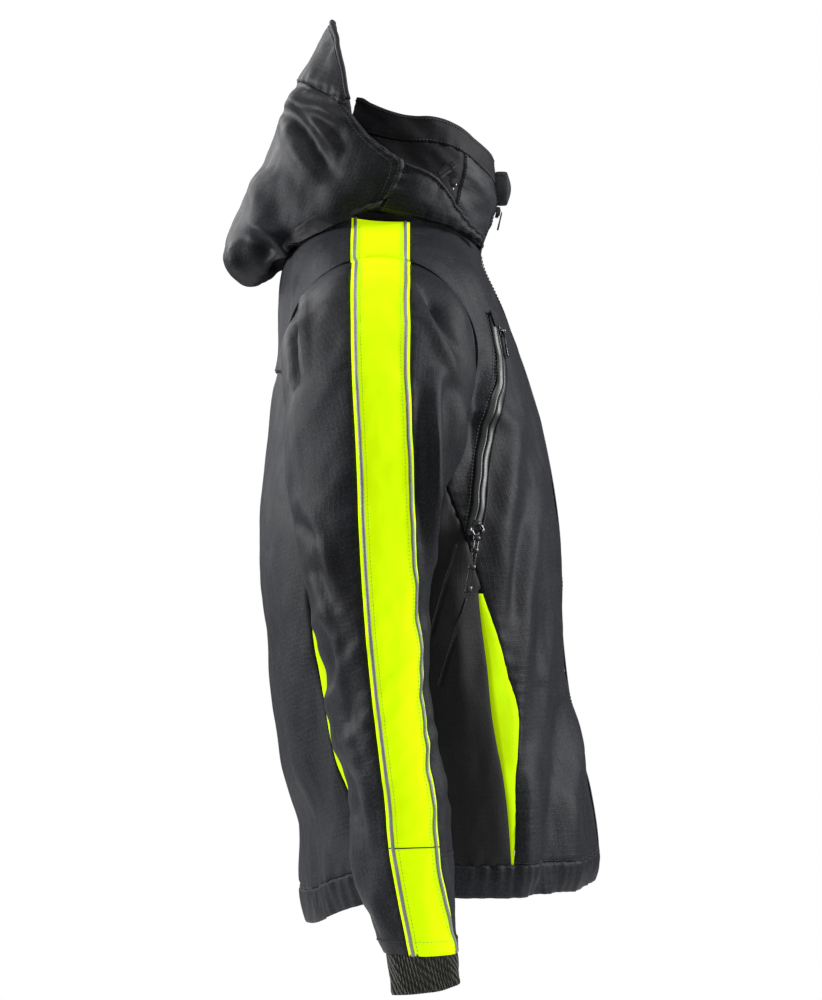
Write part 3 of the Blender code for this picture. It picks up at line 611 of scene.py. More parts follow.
def plainLook(name, colour, rough, metal=0.0, coat=0.0, grain=0.0, grainScale=900.0, spread=0.25):
    look = Look(name)
    cloudy = look.noise(grainScale / 20, 3.0)
    pale = tuple(min(1.0, c * (1 + spread * 2)) for c in colour)
    look.set(Base_Color=look.blend(((cloudy - 0.3) * 1.6).clamp(), colour, pale))
    look.set(Roughness=(cloudy * 0.15 + rough - 0.07).clamp(), Metallic=metal, Coat_Weight=coat)
    look.bump(look.noise(grainScale, 2.0), grain, 0.0003)
    return look.material


def ribKnit(name):
    look = Look(name)
    across, up = look.clothSteps()
    slant = across + up * 0.45
    wale = ((slant * (2 * math.pi / looks["ribStep"])).sin() * 0.5 + 0.5) ** 0.7
    loopsUp = ((up + wale * 0.6) * (2 * math.pi / 1.5)).sin() * 0.5 + 0.5
    # painted shade and highlight: the valleys between the wales are darker and the ridges lighter, in step with the
    # bump
    share = (wale * 0.9 + loopsUp * 0.2 - 0.1).clamp()
    look.set(Base_Color=look.blend(share, (0.006, 0.006, 0.004), (0.034, 0.033, 0.024)), Roughness=0.85)
    look.set(Sheen_Weight=0.25, Specular_IOR_Level=0.2)
    look.bump(wale * 1.3 + loopsUp * 0.25, 0.9, 0.001)
    return look.material


def reflectiveTape(name):
    look = Look(name)
    across, up = look.clothSteps()
    beads = ((across + up) * (2 * math.pi / 0.8)).sin() * ((across - up) * (2 * math.pi / 0.8)).sin()
    cloudy = look.noise(40.0, 3.0)
    tint = look.blend(((cloudy - 0.3) * 1.5).clamp(), (0.20, 0.21, 0.20), (0.32, 0.33, 0.32))
    look.set(Base_Color=tint, Roughness=0.42, Metallic=0.25)
    look.bump(beads * 0.12 + cloudy * 0.5, 0.5, 0.0006)
    return look.material


def liningMesh(name):
    look = Look(name)
    across, up = look.clothSteps()
    holes = (across * (2 * math.pi / 2.6)).sin() * (up * (2 * math.pi / 2.6)).sin()
    share = (holes * 1.5 + 0.4).clamp()
    look.set(Base_Color=look.blend(share, looks["lining"], (0.006, 0.006, 0.007)), Roughness=0.8)
    look.bump(holes * 0.4, 0.6, 0.0006)
    return look.material


materials = {
    "shell": ripstop("ripstopShell", looks["shellDark"], looks["shellLight"]),
    "collar": ripstop("ripstopCollar", (0.0075, 0.0075, 0.010), (0.014, 0.014, 0.018), 0.58),
    "collarLight": ripstop("ripstopCollarFront", (0.017, 0.018, 0.022), (0.040, 0.042, 0.046), 0.46),
    "sidePanel": ripstop("stretchSide", (0.006, 0.006, 0.007), (0.011, 0.011, 0.012), 0.58),
    # painted glow at full strength, for the stripes
    "fluorescent": fluorescentCloth("fluorescentCloth", 0.62),
    # painted shade: a copy of the fluorescent cloth with weaker painted glow, so the inserts under the arms look
    # shaded
    "fluorescentPaintedShade": fluorescentCloth("fluorescentInsertPaintedShade", 0.26),
    "reflective": reflectiveTape("reflectivePiping"),
    "lining": liningMesh("liningMesh"),
    "rib": ribKnit("ribKnit"),
    "coated": plainLook("coatedTape", looks["coated"], 0.46, 0.0, 0.05, 0.25, 500.0, 1.2),
    "enamel": plainLook("blackEnamel", looks["enamel"], 0.30, 0.6, 0.4, 0.08, 900.0),
    "steel": plainLook("brightEnds", (0.55, 0.56, 0.55), 0.30, 1.0, 0.0, 0.05, 900.0),
    "plastic": plainLook("mouldedPlastic", looks["plastic"], 0.38, 0.0, 0.2, 0.15, 1400.0),
    "thread": plainLook("threadDark", looks["thread"], 0.6, 0.0, 0.0, 0.2, 2500.0),
    "threadLime": plainLook("threadLime", (0.40, 0.62, 0.01), 0.6, 0.0, 0.0, 0.2, 2500.0),
}
print("materials made")


# ---- seams and panels ----
def depthTable(y):
    # how far round the shoulder a given depth lies, at each level
    levels = np.linspace(0.72, 1.0, 57)
    turns = np.linspace(40, 150, 221)
    places = torsoPoint(turns[None, :], levels[:, None], 1.0)[..., 1]
    return levels, np.array([np.interp(y, row, turns) for row in places])


depthTables = {place: depthTable(torso[f"stripe{place}Y"]) for place in ("Front", "Back")}


def bodySeam(level, column, middle, place):
    level = np.asarray(level, float)
    top = torso["insertTop"]
    table = torso["seams"]
    low = between(table, np.minimum(level, top))[column]
    middleShare = np.clip((level - top) / (0.60 - top), 0, 1)
    levels, turns = depthTables[place]
    high = mix(middle, np.interp(level, levels, turns), smooth(0.60, 0.74, level))
    ridge = mix(table[-1][column + 1], middle, middleShare)
    return np.where(level < top, low, np.where(level < 0.60, ridge, high))


def frontSeam(level):
    return bodySeam(level, 0, 84.0, "Front")


def backSeam(level):
    return bodySeam(level, 3, 104.0, "Back")


def sideFront(level):
    level = np.asarray(level, float)
    low = between(torso["seams"], np.minimum(level, torso["insertTop"]))
    return np.where(level < torso["insertTop"], low[1], frontSeam(level))


def sideBack(level):
    level = np.asarray(level, float)
    low = between(torso["seams"], np.minimum(level, torso["insertTop"]))
    return np.where(level < torso["insertTop"], low[2], backSeam(level))


def zipEdge(level):
    half, sideZ, frontY, frontZ, backY, backZ = between(torso["rows"], level)
    return np.degrees(np.arcsin((torso["zipHalf"] / half) ** (1 / 0.84)))


def borderDip(points, depth=0.0012, reach=0.0045, edges="lrtb"):
    # how far the cloth sinks into the seams around it
    u, v = arcLengths(points)
    rows = []
    if "l" in edges:
        rows.append(u - u[:, :1])
    if "r" in edges:
        rows.append(u[:, -1:] - u)
    if "b" in edges:
        rows.append(v - v[:1])
    if "t" in edges:
        rows.append(v[-1:] - v)
    if not rows:
        return np.zeros(points.shape[:2])
    nearest = np.min(rows, axis=0)
    return depth * (1 - smooth(0, reach, nearest)) ** 1.5


def puckers(points, edges, height=0.0010, reach=0.012, pitch=0.016, seed=0.0):
    # little gathers that run out from a stitched edge
    u, v = arcLengths(points)
    total = np.zeros(points.shape[:2])
    for edge in edges:
        away = {"l": u - u[:, :1], "r": u[:, -1:] - u, "b": v - v[:1], "t": v[-1:] - v}[edge]
        run = v if edge in "lr" else u
        wave = np.sin(run / pitch * 2 * math.pi + 2.3 * np.sin(run * 61 + seed) + seed)
        swell = 0.6 + 0.4 * np.sin(run * 37 + seed * 3)
        total += height * wave * swell * np.exp(-((away / reach) ** 2))
    return total


def torsoRise(points, side):
    flat = points.reshape(-1, 3)
    rise = foldHeight(flat, "torso")
    seed = 1.0 if side < 0 else 4.0
    rise += 0.0060 * softNoise(flat, (13, 13, 3.6), seed)
    rise += 0.0018 * softNoise(flat, (42, 42, 16), seed + 1)
    top = smooth(-0.10, -0.03, flat[:, 2])
    calm = 1 - 0.65 * top
    gather = smooth(-0.60, -0.70, flat[:, 2])
    wave = softNoise(flat, (60, 60, 6), seed + 2, 1)
    ends = smooth(-0.165, -0.200, flat[:, 1]) + smooth(0.005, 0.035, flat[:, 1])
    rise = rise * calm + gather * 0.0035 * wave - 0.0034 * ends * smooth(-0.03, -0.12, flat[:, 2])
    return rise.reshape(points.shape[:2])


def snapToArmhole(points):
    # the cloth ends on the armhole's circle; vertices just inside it move out to it
    y = points[..., 1] - torso["armholeY"]
    z = points[..., 2] - torso["armholeZ"]
    away = np.hypot(y, z) - torso["armholeRadius"]
    keep = away >= 0
    moved = points.copy()
    best = np.full(away.shape, 1e9)
    for rowStep in (-1, 0, 1):
        for columnStep in (-1, 0, 1):
            if rowStep == 0 and columnStep == 0:
                continue
            otherAway = np.full(away.shape, -1.0)
            other = points.copy()
            fromRows = slice(max(0, rowStep), away.shape[0] + min(0, rowStep))
            toRows = slice(max(0, -rowStep), away.shape[0] + min(0, -rowStep))
            fromColumns = slice(max(0, columnStep), away.shape[1] + min(0, columnStep))
            toColumns = slice(max(0, -columnStep), away.shape[1] + min(0, -columnStep))
            otherAway[toRows, toColumns] = away[fromRows, fromColumns]
            other[toRows, toColumns] = points[fromRows, fromColumns]
            crosses = (away < 0) & (otherAway >= 0)
            share = np.where(crosses, -away / np.maximum(otherAway - away, 1e-9), 0)
            place = points + (other - points) * share[..., None]
            distance = np.where(crosses, np.linalg.norm(place - points, axis=-1), 1e9)
            nearer = distance < best
            best = np.where(nearer, distance, best)
            moved = np.where(nearer[..., None], place, moved)
    return moved, keep | (best < 1e8)


cellSize = 0.0032


def gridCount(length, least=4):
    return max(least, int(round(length / cellSize)))


def torsoPanel(name, side, low, high, first, last, look, edges="lrtb", pucker="", armhole=False, lift=0.0):
    flip = side > 0
    rows = gridCount((high - low) * 0.72, 6)
    start = np.array(low + 0.01)
    test = torsoPoint(np.linspace(first(start), last(start), 20), np.full(20, low + 0.01), side)
    test2 = torsoPoint(np.linspace(first(np.array(high)), last(np.array(high)), 20), np.full(20, high), side)
    width = max(np.linalg.norm(np.diff(t, axis=0), axis=-1).sum() for t in (test, test2))
    columns = gridCount(width, 5)
    u, v = paramGrid(rows, columns)
    level = mix(low, high, v)
    degrees = mix(first(level), last(level), u)
    points = torsoPoint(degrees, level, side)
    rise = torsoRise(points, side) - borderDip(points, edges=edges) + lift
    if pucker:
        rise = rise + puckers(points, pucker, seed=len(name))
    normals = gridNormals(points)
    points = points + normals * (rise * outwardSign(points, normals, side))[..., None]
    keep = None
    if armhole:
        points, keep = snapToArmhole(points)
    sign = outwardSign(points, gridNormals(points), side)
    piece = clothObject(name, points, torso["wall"], look, "lining", flip=sign < 0, keep=keep)
    declareSheet(points)
    return piece, points


def outwardSign(points, normals, side):
    # +1 when the grid's normals already face out of the coat
    middle = np.array((0.0, -0.09, 0.0))
    away = points - middle
    away[..., 2] *= 0.15
    return 1.0 if float((normals * away).sum(-1).mean()) > 0 else -1.0


def finishPiece(piece, body, slot, *nodes):
    if body:
        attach(piece, body)
    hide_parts(*nodes)
    return piece


levelStep = (0.996 - 0.040 - 0.0016) / 18
levelStart = 0.0416
yokeLow = levelStart + 12 * levelStep
lines = {}
for tag, side in sides:
    piece, points = torsoPanel(
        f"{tag}FrontPanel", side, 0.040, 0.996, zipEdge, frontSeam, "shell", "rb", "rb", armhole=True
    )
    finishPiece(piece, "root", "shell", f"{tag}_front_panel")
    lines[f"{tag}Front"] = points
    piece, points = torsoPanel(
        f"{tag}SidePanel", side, 0.040, 0.640, sideFront, sideBack, "sidePanel", "lr", "b", armhole=True
    )
    finishPiece(piece, "root", "shell", f"{tag}_side_panel")
    lines[f"{tag}Side"] = points
    # the front and rear inserts use the fluorescent copy darkened with painted shade
    piece, points = torsoPanel(
        f"{tag}FrontInsert", side, 0.041, 0.408, frontSeam, sideFront, "fluorescentPaintedShade", "lr"
    )
    finishPiece(piece, "root", "fluorescent", f"{tag}_front_insert")
    piece, points = torsoPanel(
        f"{tag}RearInsert", side, 0.041, 0.408, sideBack, backSeam, "fluorescentPaintedShade", "lr"
    )
    finishPiece(piece, "root", "fluorescent", f"{tag}_rear_insert")
    piece, points = torsoPanel(
        f"{tag}ShoulderStripe", side, 0.835, 0.975, frontSeam, backSeam, "fluorescent", ""
    )
    finishPiece(piece, "root", "fluorescent", f"{tag}_shoulder_stripe")
print("front, side and insert panels made")


def backPatch(name, low, high, look, pucker, armhole, lift, *nodes):
    rows = gridCount((high - low) * 0.72, 6)
    columns = gridCount(0.44, 8) | 1
    u, v = paramGrid(rows, columns)
    level = mix(low, high, v)
    turnShare = 1 - np.abs(2 * u - 1)
    degrees = mix(backSeam(level), 180.0, turnShare)
    side = np.where(u < 0.5, -1.0, 1.0)
    points = torsoPoint(degrees, level, side)
    rise = torsoRise(points, -1) - borderDip(points) + puckers(points, pucker, seed=3.0) + lift
    normals = gridNormals(points)
    sign = outwardSign(points, normals, 0)
    points = points + normals * (rise * sign)[..., None]
    keep = None
    if armhole:
        points, keep = snapToArmhole(points)
    piece = clothObject(name, points, torso["wall"], look, "lining", flip=sign < 0, keep=keep)
    declareSheet(points)
    finishPiece(piece, "root", "shell", *nodes)
    return points


lines["back"] = backPatch("BackPanel", 0.040, yokeLow + 0.004, "shell", "b", True, 0.0, "back_panel")
lines["yoke"] = backPatch("BackYoke", yokeLow - 0.004, 0.996, "shell", "b", True, 0.0026, "back_yoke")


def hemBand(name, first, last, sides2, slot, *nodes):
    rows, columns = 18, gridCount(0.34 if sides2 else 0.40)
    u, v = paramGrid(rows, columns)
    level = mix(0.0, 0.052, v)
    if sides2:
        degrees = mix(first, 180.0, 1 - np.abs(2 * u - 1))
        side = np.where(u < 0.5, -1.0, 1.0)
    else:
        degrees = mix(zipEdge(level), last, u)
        side = np.full(u.shape, float(sides2 or first))
    points = torsoPoint(degrees, level, side)
    arcs = arcLengths(points)[0]
    gather = 0.0016 * np.sin(arcs / 0.011 * 2 * math.pi + 3 * np.sin(arcs * 41)) * (0.35 + 0.65 * v)
    roll = 0.0016 * np.sin(math.pi * np.clip(v * 1.02, 0, 1)) ** 0.5
    bodySide = -1 if sides2 else first
    under = smooth(0.039, 0.044, level)
    rise = torsoRise(points, bodySide) + (gather + roll - 0.0004) * (1 - under) - 0.0034 * under
    normals = gridNormals(points)
    sign = outwardSign(points, normals, 0)
    points = points + normals * (rise * sign)[..., None]
    piece = clothObject(name, points, 0.0026, "shell", "lining", flip=sign < 0)
    declareSheet(points)
    finishPiece(piece, "root", "shell", *nodes)


hemBand("RearHemBand", torso["hemBack"], 180.0, True, "shell", "rear_hem_band")
for tag, side in sides:
    hemBand(f"{tag}HemBand", side, torso["hemBack"], 0, "shell", f"{tag}_hem_band")
print("back, yoke and hem made")


# ---- sleeves ----
def sleeveRise(points, side):
    flat = points.reshape(-1, 3)
    rise = foldHeight(flat, "sleeve")
    seed = 2.0 if side < 0 else 6.0
    # slack rings of cloth that lean across the arm, stronger at the elbow
    slack = 0.35 + smooth(-0.36, -0.46, flat[:, 2]) * smooth(-0.68, -0.56, flat[:, 2])
    leaned = flat.copy()
    leaned[:, 2] = flat[:, 2] + flat[:, 1] * 1.1
    rise += 0.0034 * slack * softNoise(leaned, (10, 10, 26), seed)
    rise += 0.0036 * softNoise(flat, (17, 17, 6), seed + 1)
    rise += 0.0012 * softNoise(flat, (60, 60, 26), seed + 2)
    top = smooth(-0.11, -0.075, flat[:, 2])
    behind = flat[:, 1] + 0.028 - 0.152 * (flat[:, 2] + 0.42)
    slack = smooth(-0.28, -0.42, flat[:, 2]) * smooth(-0.70, -0.60, flat[:, 2])
    rise -= 0.0072 * smooth(0.018, 0.042, behind) * slack
    return (rise * (1 - 0.6 * top)).reshape(points.shape[:2])


def circleEdge(degrees, side, tree):
    # where the armhole's circle meets the coat, by the turn round the sleeve
    turn = np.radians(degrees)
    y = torso["armholeY"] - torso["armholeRadius"] * np.sin(turn)
    z = torso["armholeZ"] + torso["armholeRadius"] * np.cos(turn)
    found = np.zeros(y.shape + (3,))
    for place in np.ndindex(y.shape):
        hit = tree.ray_cast(Vector((side * 0.6, y[place], z[place])), Vector((-side, 0, 0)))
        found[place] = hit[0] if hit[0] is not None else (side * 0.17, y[place], z[place])
    return found


def torsoTree(side):
    level, degrees = np.meshgrid(np.linspace(0.0, 1.0, 90), np.linspace(0, 180, 91), indexing="ij")
    points = torsoPoint(degrees, level, side)
    rise = torsoRise(points, side)
    normals = gridNormals(points)
    points = points + normals * (rise * outwardSign(points, normals, side))[..., None]
    columns = points.shape[1]
    faces = [
        (r * columns + c, r * columns + c + 1, (r + 1) * columns + c + 1, (r + 1) * columns + c)
        for r in range(points.shape[0] - 1)
        for c in range(columns - 1)
    ]
    return BVHTree.FromPolygons([tuple(p) for p in points.reshape(-1, 3)], faces)


trees = {side: torsoTree(side) for tag, side in sides}
edgeRings = {}
for tag, side in sides:
    ringTurns = np.linspace(-180, 180, 181)
    edgeRings[side] = circleEdge(ringTurns, side, trees[side])


def sleeveSurface(degrees, station, side):
    points = sleevePoint(degrees, station, side)
    share = smooth(0.0, 0.075, station)
    edge = np.stack([np.interp(degrees, ringTurns, edgeRings[side][:, axis]) for axis in range(3)], -1)
    edge[..., 0] += side * 0.0012
    return mix(edge, points, share[..., None])


def sleeveSign(points, normals, side):
    middle = points.mean(1, keepdims=True) * 0
    middle = np.stack((np.full(points.shape[:2], side * 0.30), np.full(points.shape[:2], -0.035), points[..., 2]), -1)
    middle[..., 0] = side * mix(0.21, 0.303, smooth(-0.10, -0.30, points[..., 2]))
    return 1.0 if float((normals * (points - middle)).sum(-1).mean()) > 0 else -1.0


def overShoulder(row, side, count=26):
    # carries the stripe's top row on over the shoulder to the collar
    levels = np.linspace(0.79, 0.975, 140)
    turns = np.linspace(35, 150, 116)
    grid = torsoPoint(turns[None, :], levels[:, None], side)
    grid[..., 2] += 0.0022
    columns = []
    for start in row:
        turn = [np.interp(start[1], places, turns) for places in grid[..., 1]]
        path = np.array([
            [np.interp(t, turns, grid[i, :, axis]) for axis in range(3)] for i, t in enumerate(turn)
        ])
        path = path[path[:, 2] > start[2] + 0.003]
        pick = np.linspace(len(path) - 1, 0, count)
        columns.append(np.stack([np.interp(pick, np.arange(len(path)), path[:, axis]) for axis in range(3)], -1))
    return np.stack(columns, 1)


def sleevePanel(name, side, first, last, look, edges="lr", pucker="lr", low=0.0, high=1.0, lift=0.0):
    rows = gridCount(0.74 * (high - low), 8)
    columns = gridCount(0.12 if "Stripe" not in name else 0.05, 6)
    if "Stripe" in name:
        columns = 20
    u, v = paramGrid(rows, columns)
    station = mix(low, high, v)
    degrees = mix(first(station), last(station), u)
    points = sleeveSurface(degrees, station, side)
    rise = sleeveRise(points, side) * smooth(0.0, 0.05, station)
    rise = rise - borderDip(points, 0.0012, 0.0045, edges) + lift
    rise = rise + puckers(points, pucker, 0.0008, 0.010, 0.014, len(name)) * smooth(0.0, 0.05, station)
    hem = smooth(0.972, 0.985, station)
    rise = rise + 0.0012 * hem
    normals = gridNormals(points)
    points = points + normals * (rise * sleeveSign(points, normals, side))[..., None]
    if "Stripe" in name:
        points = np.concatenate((overShoulder(points[0], side), points[2:]))
    sign = sleeveSign(points, gridNormals(points), side)
    piece = clothObject(name, points, sleeve["wall"], look, "lining", flip=sign < 0)
    declareSheet(points)
    return piece, points


def bendWithArm(piece, side):
    # bakes the piece's placement into its mesh
    start = Vector((side * 0.166, torso["armholeY"], torso["armholeZ"]))
    start + Vector((side * 0.078, 0, 0))
    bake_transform(piece)


def stripBetween(name, centre, normals, width, height, look):
    # a low ridge of tape along a line lying on cloth
    count = len(centre)
    along = np.gradient(centre, axis=0)
    along /= np.linalg.norm(along, axis=1, keepdims=True)
    across = np.cross(normals, along)
    across /= np.linalg.norm(across, axis=1, keepdims=True)
    half = ((0.5, -0.0006), (0.46, height * 0.7), (0.2, height))
    profile = tuple((-a, h) for a, h in half) + half[::-1]
    rows = np.stack([centre + across * width * a + normals * h for a, h in profile], 1)
    size = len(profile)
    lengths = np.concatenate(([0], np.cumsum(np.linalg.norm(np.diff(centre, axis=0), axis=1))))
    vertices = rows.reshape(-1, 3)
    faces = []
    for i in range(count - 1):
        for k in range(size):
            a, b = i * size + k, i * size + (k + 1) % size
            faces.append((a, b, b + size, a + size))
    faces.append(tuple(range(size))[::-1])
    faces.append(tuple((count - 1) * size + k for k in range(size)))
    mesh = bpy.data.meshes.new(name)
    mesh.from_pydata(vertices.tolist(), [], faces)
    layer = mesh.uv_layers.new(name="cloth")
    uvs = np.array([(profile[k][0] * width, lengths[i]) for i in range(count) for k in range(size)])
    loops = np.empty(len(mesh.loops), np.int32)
    mesh.loops.foreach_get("vertex_index", loops)
    layer.data.foreach_set("uv", uvs[loops].astype(np.float32).ravel())
    mesh.materials.append(materials[look])
    mesh.polygons.foreach_set("use_smooth", np.ones(len(faces), bool))
    form = bmesh.new()
    form.from_mesh(mesh)
    bmesh.ops.recalc_face_normals(form, faces=form.faces[:])
    form.to_mesh(mesh)
    form.free()
    made = bpy.data.objects.new(name, mesh)
    bpy.context.scene.collection.objects.link(made)
    return made


def stitches(name, centre, normals, look, length=0.0026, gap=0.0012, width=0.0007, height=0.0005):
    # thread lying on cloth as a row of short dashes
    steps = np.linalg.norm(np.diff(centre, axis=0), axis=1)
    lengths = np.concatenate(([0], np.cumsum(steps)))
    starts = np.arange(0.001, lengths[-1] - length, length + gap)
    if len(starts) == 0:
        return None
    ends = starts + length

    def at(where, table):
        return np.stack([np.interp(where, lengths, table[:, axis]) for axis in range(3)], -1)

    a, b, n = at(starts, centre), at(ends, centre), at(starts, normals)
    along = (b - a) / np.linalg.norm(b - a, axis=1, keepdims=True)
    across = np.cross(n, along)
    across /= np.maximum(np.linalg.norm(across, axis=1, keepdims=True), 1e-9)
    corners = []
    for end, rise in ((a, 0.0), (a + (b - a) * 0.25, 1.0), (a + (b - a) * 0.75, 1.0), (b, 0.0)):
        for sideways in (-0.5, 0.5):
            corners.append(end + across * width * sideways + n * (height * rise - 0.0002))
    low = [(a + b) / 2 - n * 0.0006]
    vertices = np.stack(corners + low, 1)
    each = vertices.shape[1]
    shape = ((0, 1, 3, 2), (2, 3, 5, 4), (4, 5, 7, 6), (0, 2, 4, 6, 8), (1, 8, 7, 5, 3), (0, 8, 1), (6, 7, 8))
    faces = [tuple(i * each + k for k in face) for i in range(len(a)) for face in shape]
    mesh = bpy.data.meshes.new(name)
    mesh.from_pydata(vertices.reshape(-1, 3).tolist(), [], faces)
    mesh.materials.append(materials[look])
    mesh.update()
    made = bpy.data.objects.new(name, mesh)
    bpy.context.scene.collection.objects.link(made)
    return made


def lineOn(points, column=None, row=None, inset=0.0, sign=1.0, lift=0.0005, low=0.0, high=1.0):
    # a line on a panel's face, a given distance in from one of its borders
    normals = gridNormals(points) * sign
    u, v = arcLengths(points)
    centre, outward = [], []
    if column is not None:
        for r in range(points.shape[0]):
            away = (u[r] - u[r, 0]) if column == 0 else (u[r, -1] - u[r])
            order = np.argsort(away)
            place = [np.interp(inset, away[order], points[r, order, axis]) for axis in range(3)]
            facing = [np.interp(inset, away[order], normals[r, order, axis]) for axis in range(3)]
            centre.append(place)
            outward.append(facing)
    else:
        for c in range(points.shape[1]):
            away = (v[:, c] - v[0, c]) if row == 0 else (v[-1, c] - v[:, c])
            order = np.argsort(away)
            place = [np.interp(inset, away[order], points[order, c, axis]) for axis in range(3)]
            facing = [np.interp(inset, away[order], normals[order, c, axis]) for axis in range(3)]
            centre.append(place)
            outward.append(facing)
    centre, outward = np.array(centre), np.array(outward)
    outward /= np.linalg.norm(outward, axis=1, keepdims=True)
    count = len(centre)
    part = slice(int(low * count), max(int(high * count), int(low * count) + 2))
    centre, outward = centre[part], outward[part]
    return centre + outward * lift, outward


piping = {"width": 0.0036, "height": 0.0016, "fromEdge": 0.0045}
for tag, side in sides:
    front = lambda s: stripeEdge(s, True)
    back = lambda s: stripeEdge(s, False)
    pieces = {}
    pieces["Front"] = sleevePanel(f"{tag}SleeveFront", side, front, lambda s: 180.0 + 0 * s, "shell", "l", "l")
    pieces["Back"] = sleevePanel(f"{tag}SleeveBack", side, lambda s: -180.0 + 0 * s, back, "shell", "r", "r")
    pieces["Stripe"] = sleevePanel(f"{tag}SleeveStripe", side, back, front, "fluorescent", "", "", lift=0.0004)
    for part, (piece, points) in pieces.items():
        bendWithArm(piece, side)
        finishPiece(piece, None, "fluorescent" if part == "Stripe" else "shell", f"{tag}_sleeve_{part.lower()}")
    stripePoints = pieces["Stripe"][1]
    sign = sleeveSign(stripePoints, gridNormals(stripePoints), side)
    for place, column in (("Back", 0), ("Front", 1)):
        centre, outward = lineOn(stripePoints, column=column, inset=piping["fromEdge"], sign=sign, lift=0.0002)
        section = piping["width"], piping["height"]
        tape = stripBetween(f"{tag}SleevePiping{place}", centre, outward, *section, "reflective")
        bendWithArm(tape, side)
        finishPiece(tape, None, "reflective", f"{tag}_sleeve_piping_{place.lower()}")
    for inset in (0.0095,):
        for column in (0, 1):
            centre, outward = lineOn(stripePoints, column=column, inset=inset, sign=sign, low=0.02)
            thread = stitches(f"{tag}StripeStitch{column}", centre, outward, "threadLime")
            bendWithArm(thread, side)
    frontPoints = pieces["Front"][1]
    sign = sleeveSign(frontPoints, gridNormals(frontPoints), side)
    backPoints = pieces["Back"][1]
    for label, points in (("Front", frontPoints), ("Back", backPoints), ("Stripe", stripePoints)):
        sign = sleeveSign(points, gridNormals(points), side)
        centre, outward = lineOn(points, row=1, inset=0.014, sign=sign)
        thread = stitches(f"{tag}SleeveHem{label}", centre, outward, "thread" if label != "Stripe" else "threadLime")
        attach(thread, f"{tag}_sleeve")
        seam = int(len(points) * sleeve["crossSeam"])
        if label != "Back":
            centre = points[seam]
            facing = gridNormals(points)[seam] * sign
            width = 0.0030 if label == "Front" else 0.0011
            ridge = stripBetween(f"{tag}ForearmSeam{label}", centre + facing * 0.0002, facing, width, 0.0007, "shell")
            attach(ridge, f"{tag}_sleeve")
print("sleeves made")


# ---- rib cuffs ----
cuff = {
    "rings": (
        (-0.7380, 0.0365, 0.0326), (-0.7442, 0.0372, 0.0334), (-0.7560, 0.0352, 0.0326), (-0.7670, 0.0338, 0.0318),
        (-0.7755, 0.0345, 0.0325), (-0.7785, 0.0338, 0.0318),
    ),
    "wall": 0.0030,
    "ribs": 62,
    "lean": 0.9,
    "tilt": 0.20,
}


def ribCuff(tag, side):
    rows, columns = 40, cuff["ribs"] * 6 + 1
    v, u = np.meshgrid(np.linspace(0, 1, rows), np.linspace(0, 1, columns), indexing="ij")
    rings = np.array(cuff["rings"])
    z = mix(rings[0, 0], rings[-1, 0], v)
    halfX = np.interp(-z, -rings[:, 0], rings[:, 1])
    halfY = np.interp(-z, -rings[:, 0], rings[:, 2])
    turn = math.pi + u * 2 * math.pi * 0.9999
    drop = (-0.7442 - z) / 0.042
    ribWave = np.cos(cuff["ribs"] * turn + cuff["lean"] * 6 * v)
    swell = 0.0007 * np.sign(ribWave) * np.abs(ribWave) ** 0.7
    slack = 0.0014 * np.sin(3 * turn + 1.1) * np.sin(math.pi * v) + 0.0009 * np.sin(7 * turn + 4 * v)
    def tube(extra):
        return np.stack((
            side * 0.300 + (halfX + extra) * np.cos(turn) * side,
            -0.0785 - 0.0065 * drop + (halfY + extra) * np.sin(turn),
            z + 0.0012 * np.sin(2 * turn) * v - cuff["tilt"] * halfY * np.sin(turn) * v,
        ), -1)

    points = tube(swell + slack)
    inner = tube(slack - cuff["wall"])
    normals = gridNormals(points)
    middle = np.stack((np.full(z.shape, side * 0.300), -0.0785 - 0.0065 * drop, z), -1)
    sign = 1.0 if float((normals * (points - middle)).sum(-1).mean()) > 0 else -1.0
    piece = clothObject(f"{tag}RibCuff", points, cuff["wall"], "rib", "rib", flip=sign < 0, inner=inner)
    declareSheet(points)
    finishPiece(piece, f"{tag}_sleeve", "rib", f"{tag}_rib_cuff")


for tag, side in sides:
    ribCuff(tag, side)
print("cuffs made")


# ---- hood ----
def hoodRise(points, seed):
    flat = points.reshape(-1, 3)
    rise = foldHeight(flat, "hood")
    rise += 0.0045 * softNoise(flat, (16, 16, 12), seed)
    rise += 0.0016 * softNoise(flat, (48, 48, 34), seed + 1)
    return rise.reshape(points.shape[:2])


def hoodSign(points, normals):
    middle = np.stack((points[..., 0] * 0.2, np.full(points.shape[:2], 0.01), np.full(points.shape[:2], 0.03)), -1)
    return 1.0 if float((normals * (points - middle)).sum(-1).mean()) > 0 else -1.0


def hoodCloth(name, points, look, edges, pucker, lift, dip=0.0012):
    rise = hoodRise(points, 3.0) - borderDip(points, dip, 0.005, edges) + lift
    rise = rise + puckers(points, pucker, 0.0009, 0.010, 0.013, len(name))
    normals = gridNormals(points)
    sign = hoodSign(points, normals)
    points = points + normals * (rise * sign)[..., None]
    piece = clothObject(name, points, hood["wall"], look, "lining", flip=sign < 0)
    declareSheet(points)
    return piece, points, sign


def bendWithHood(piece):
    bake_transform(piece)


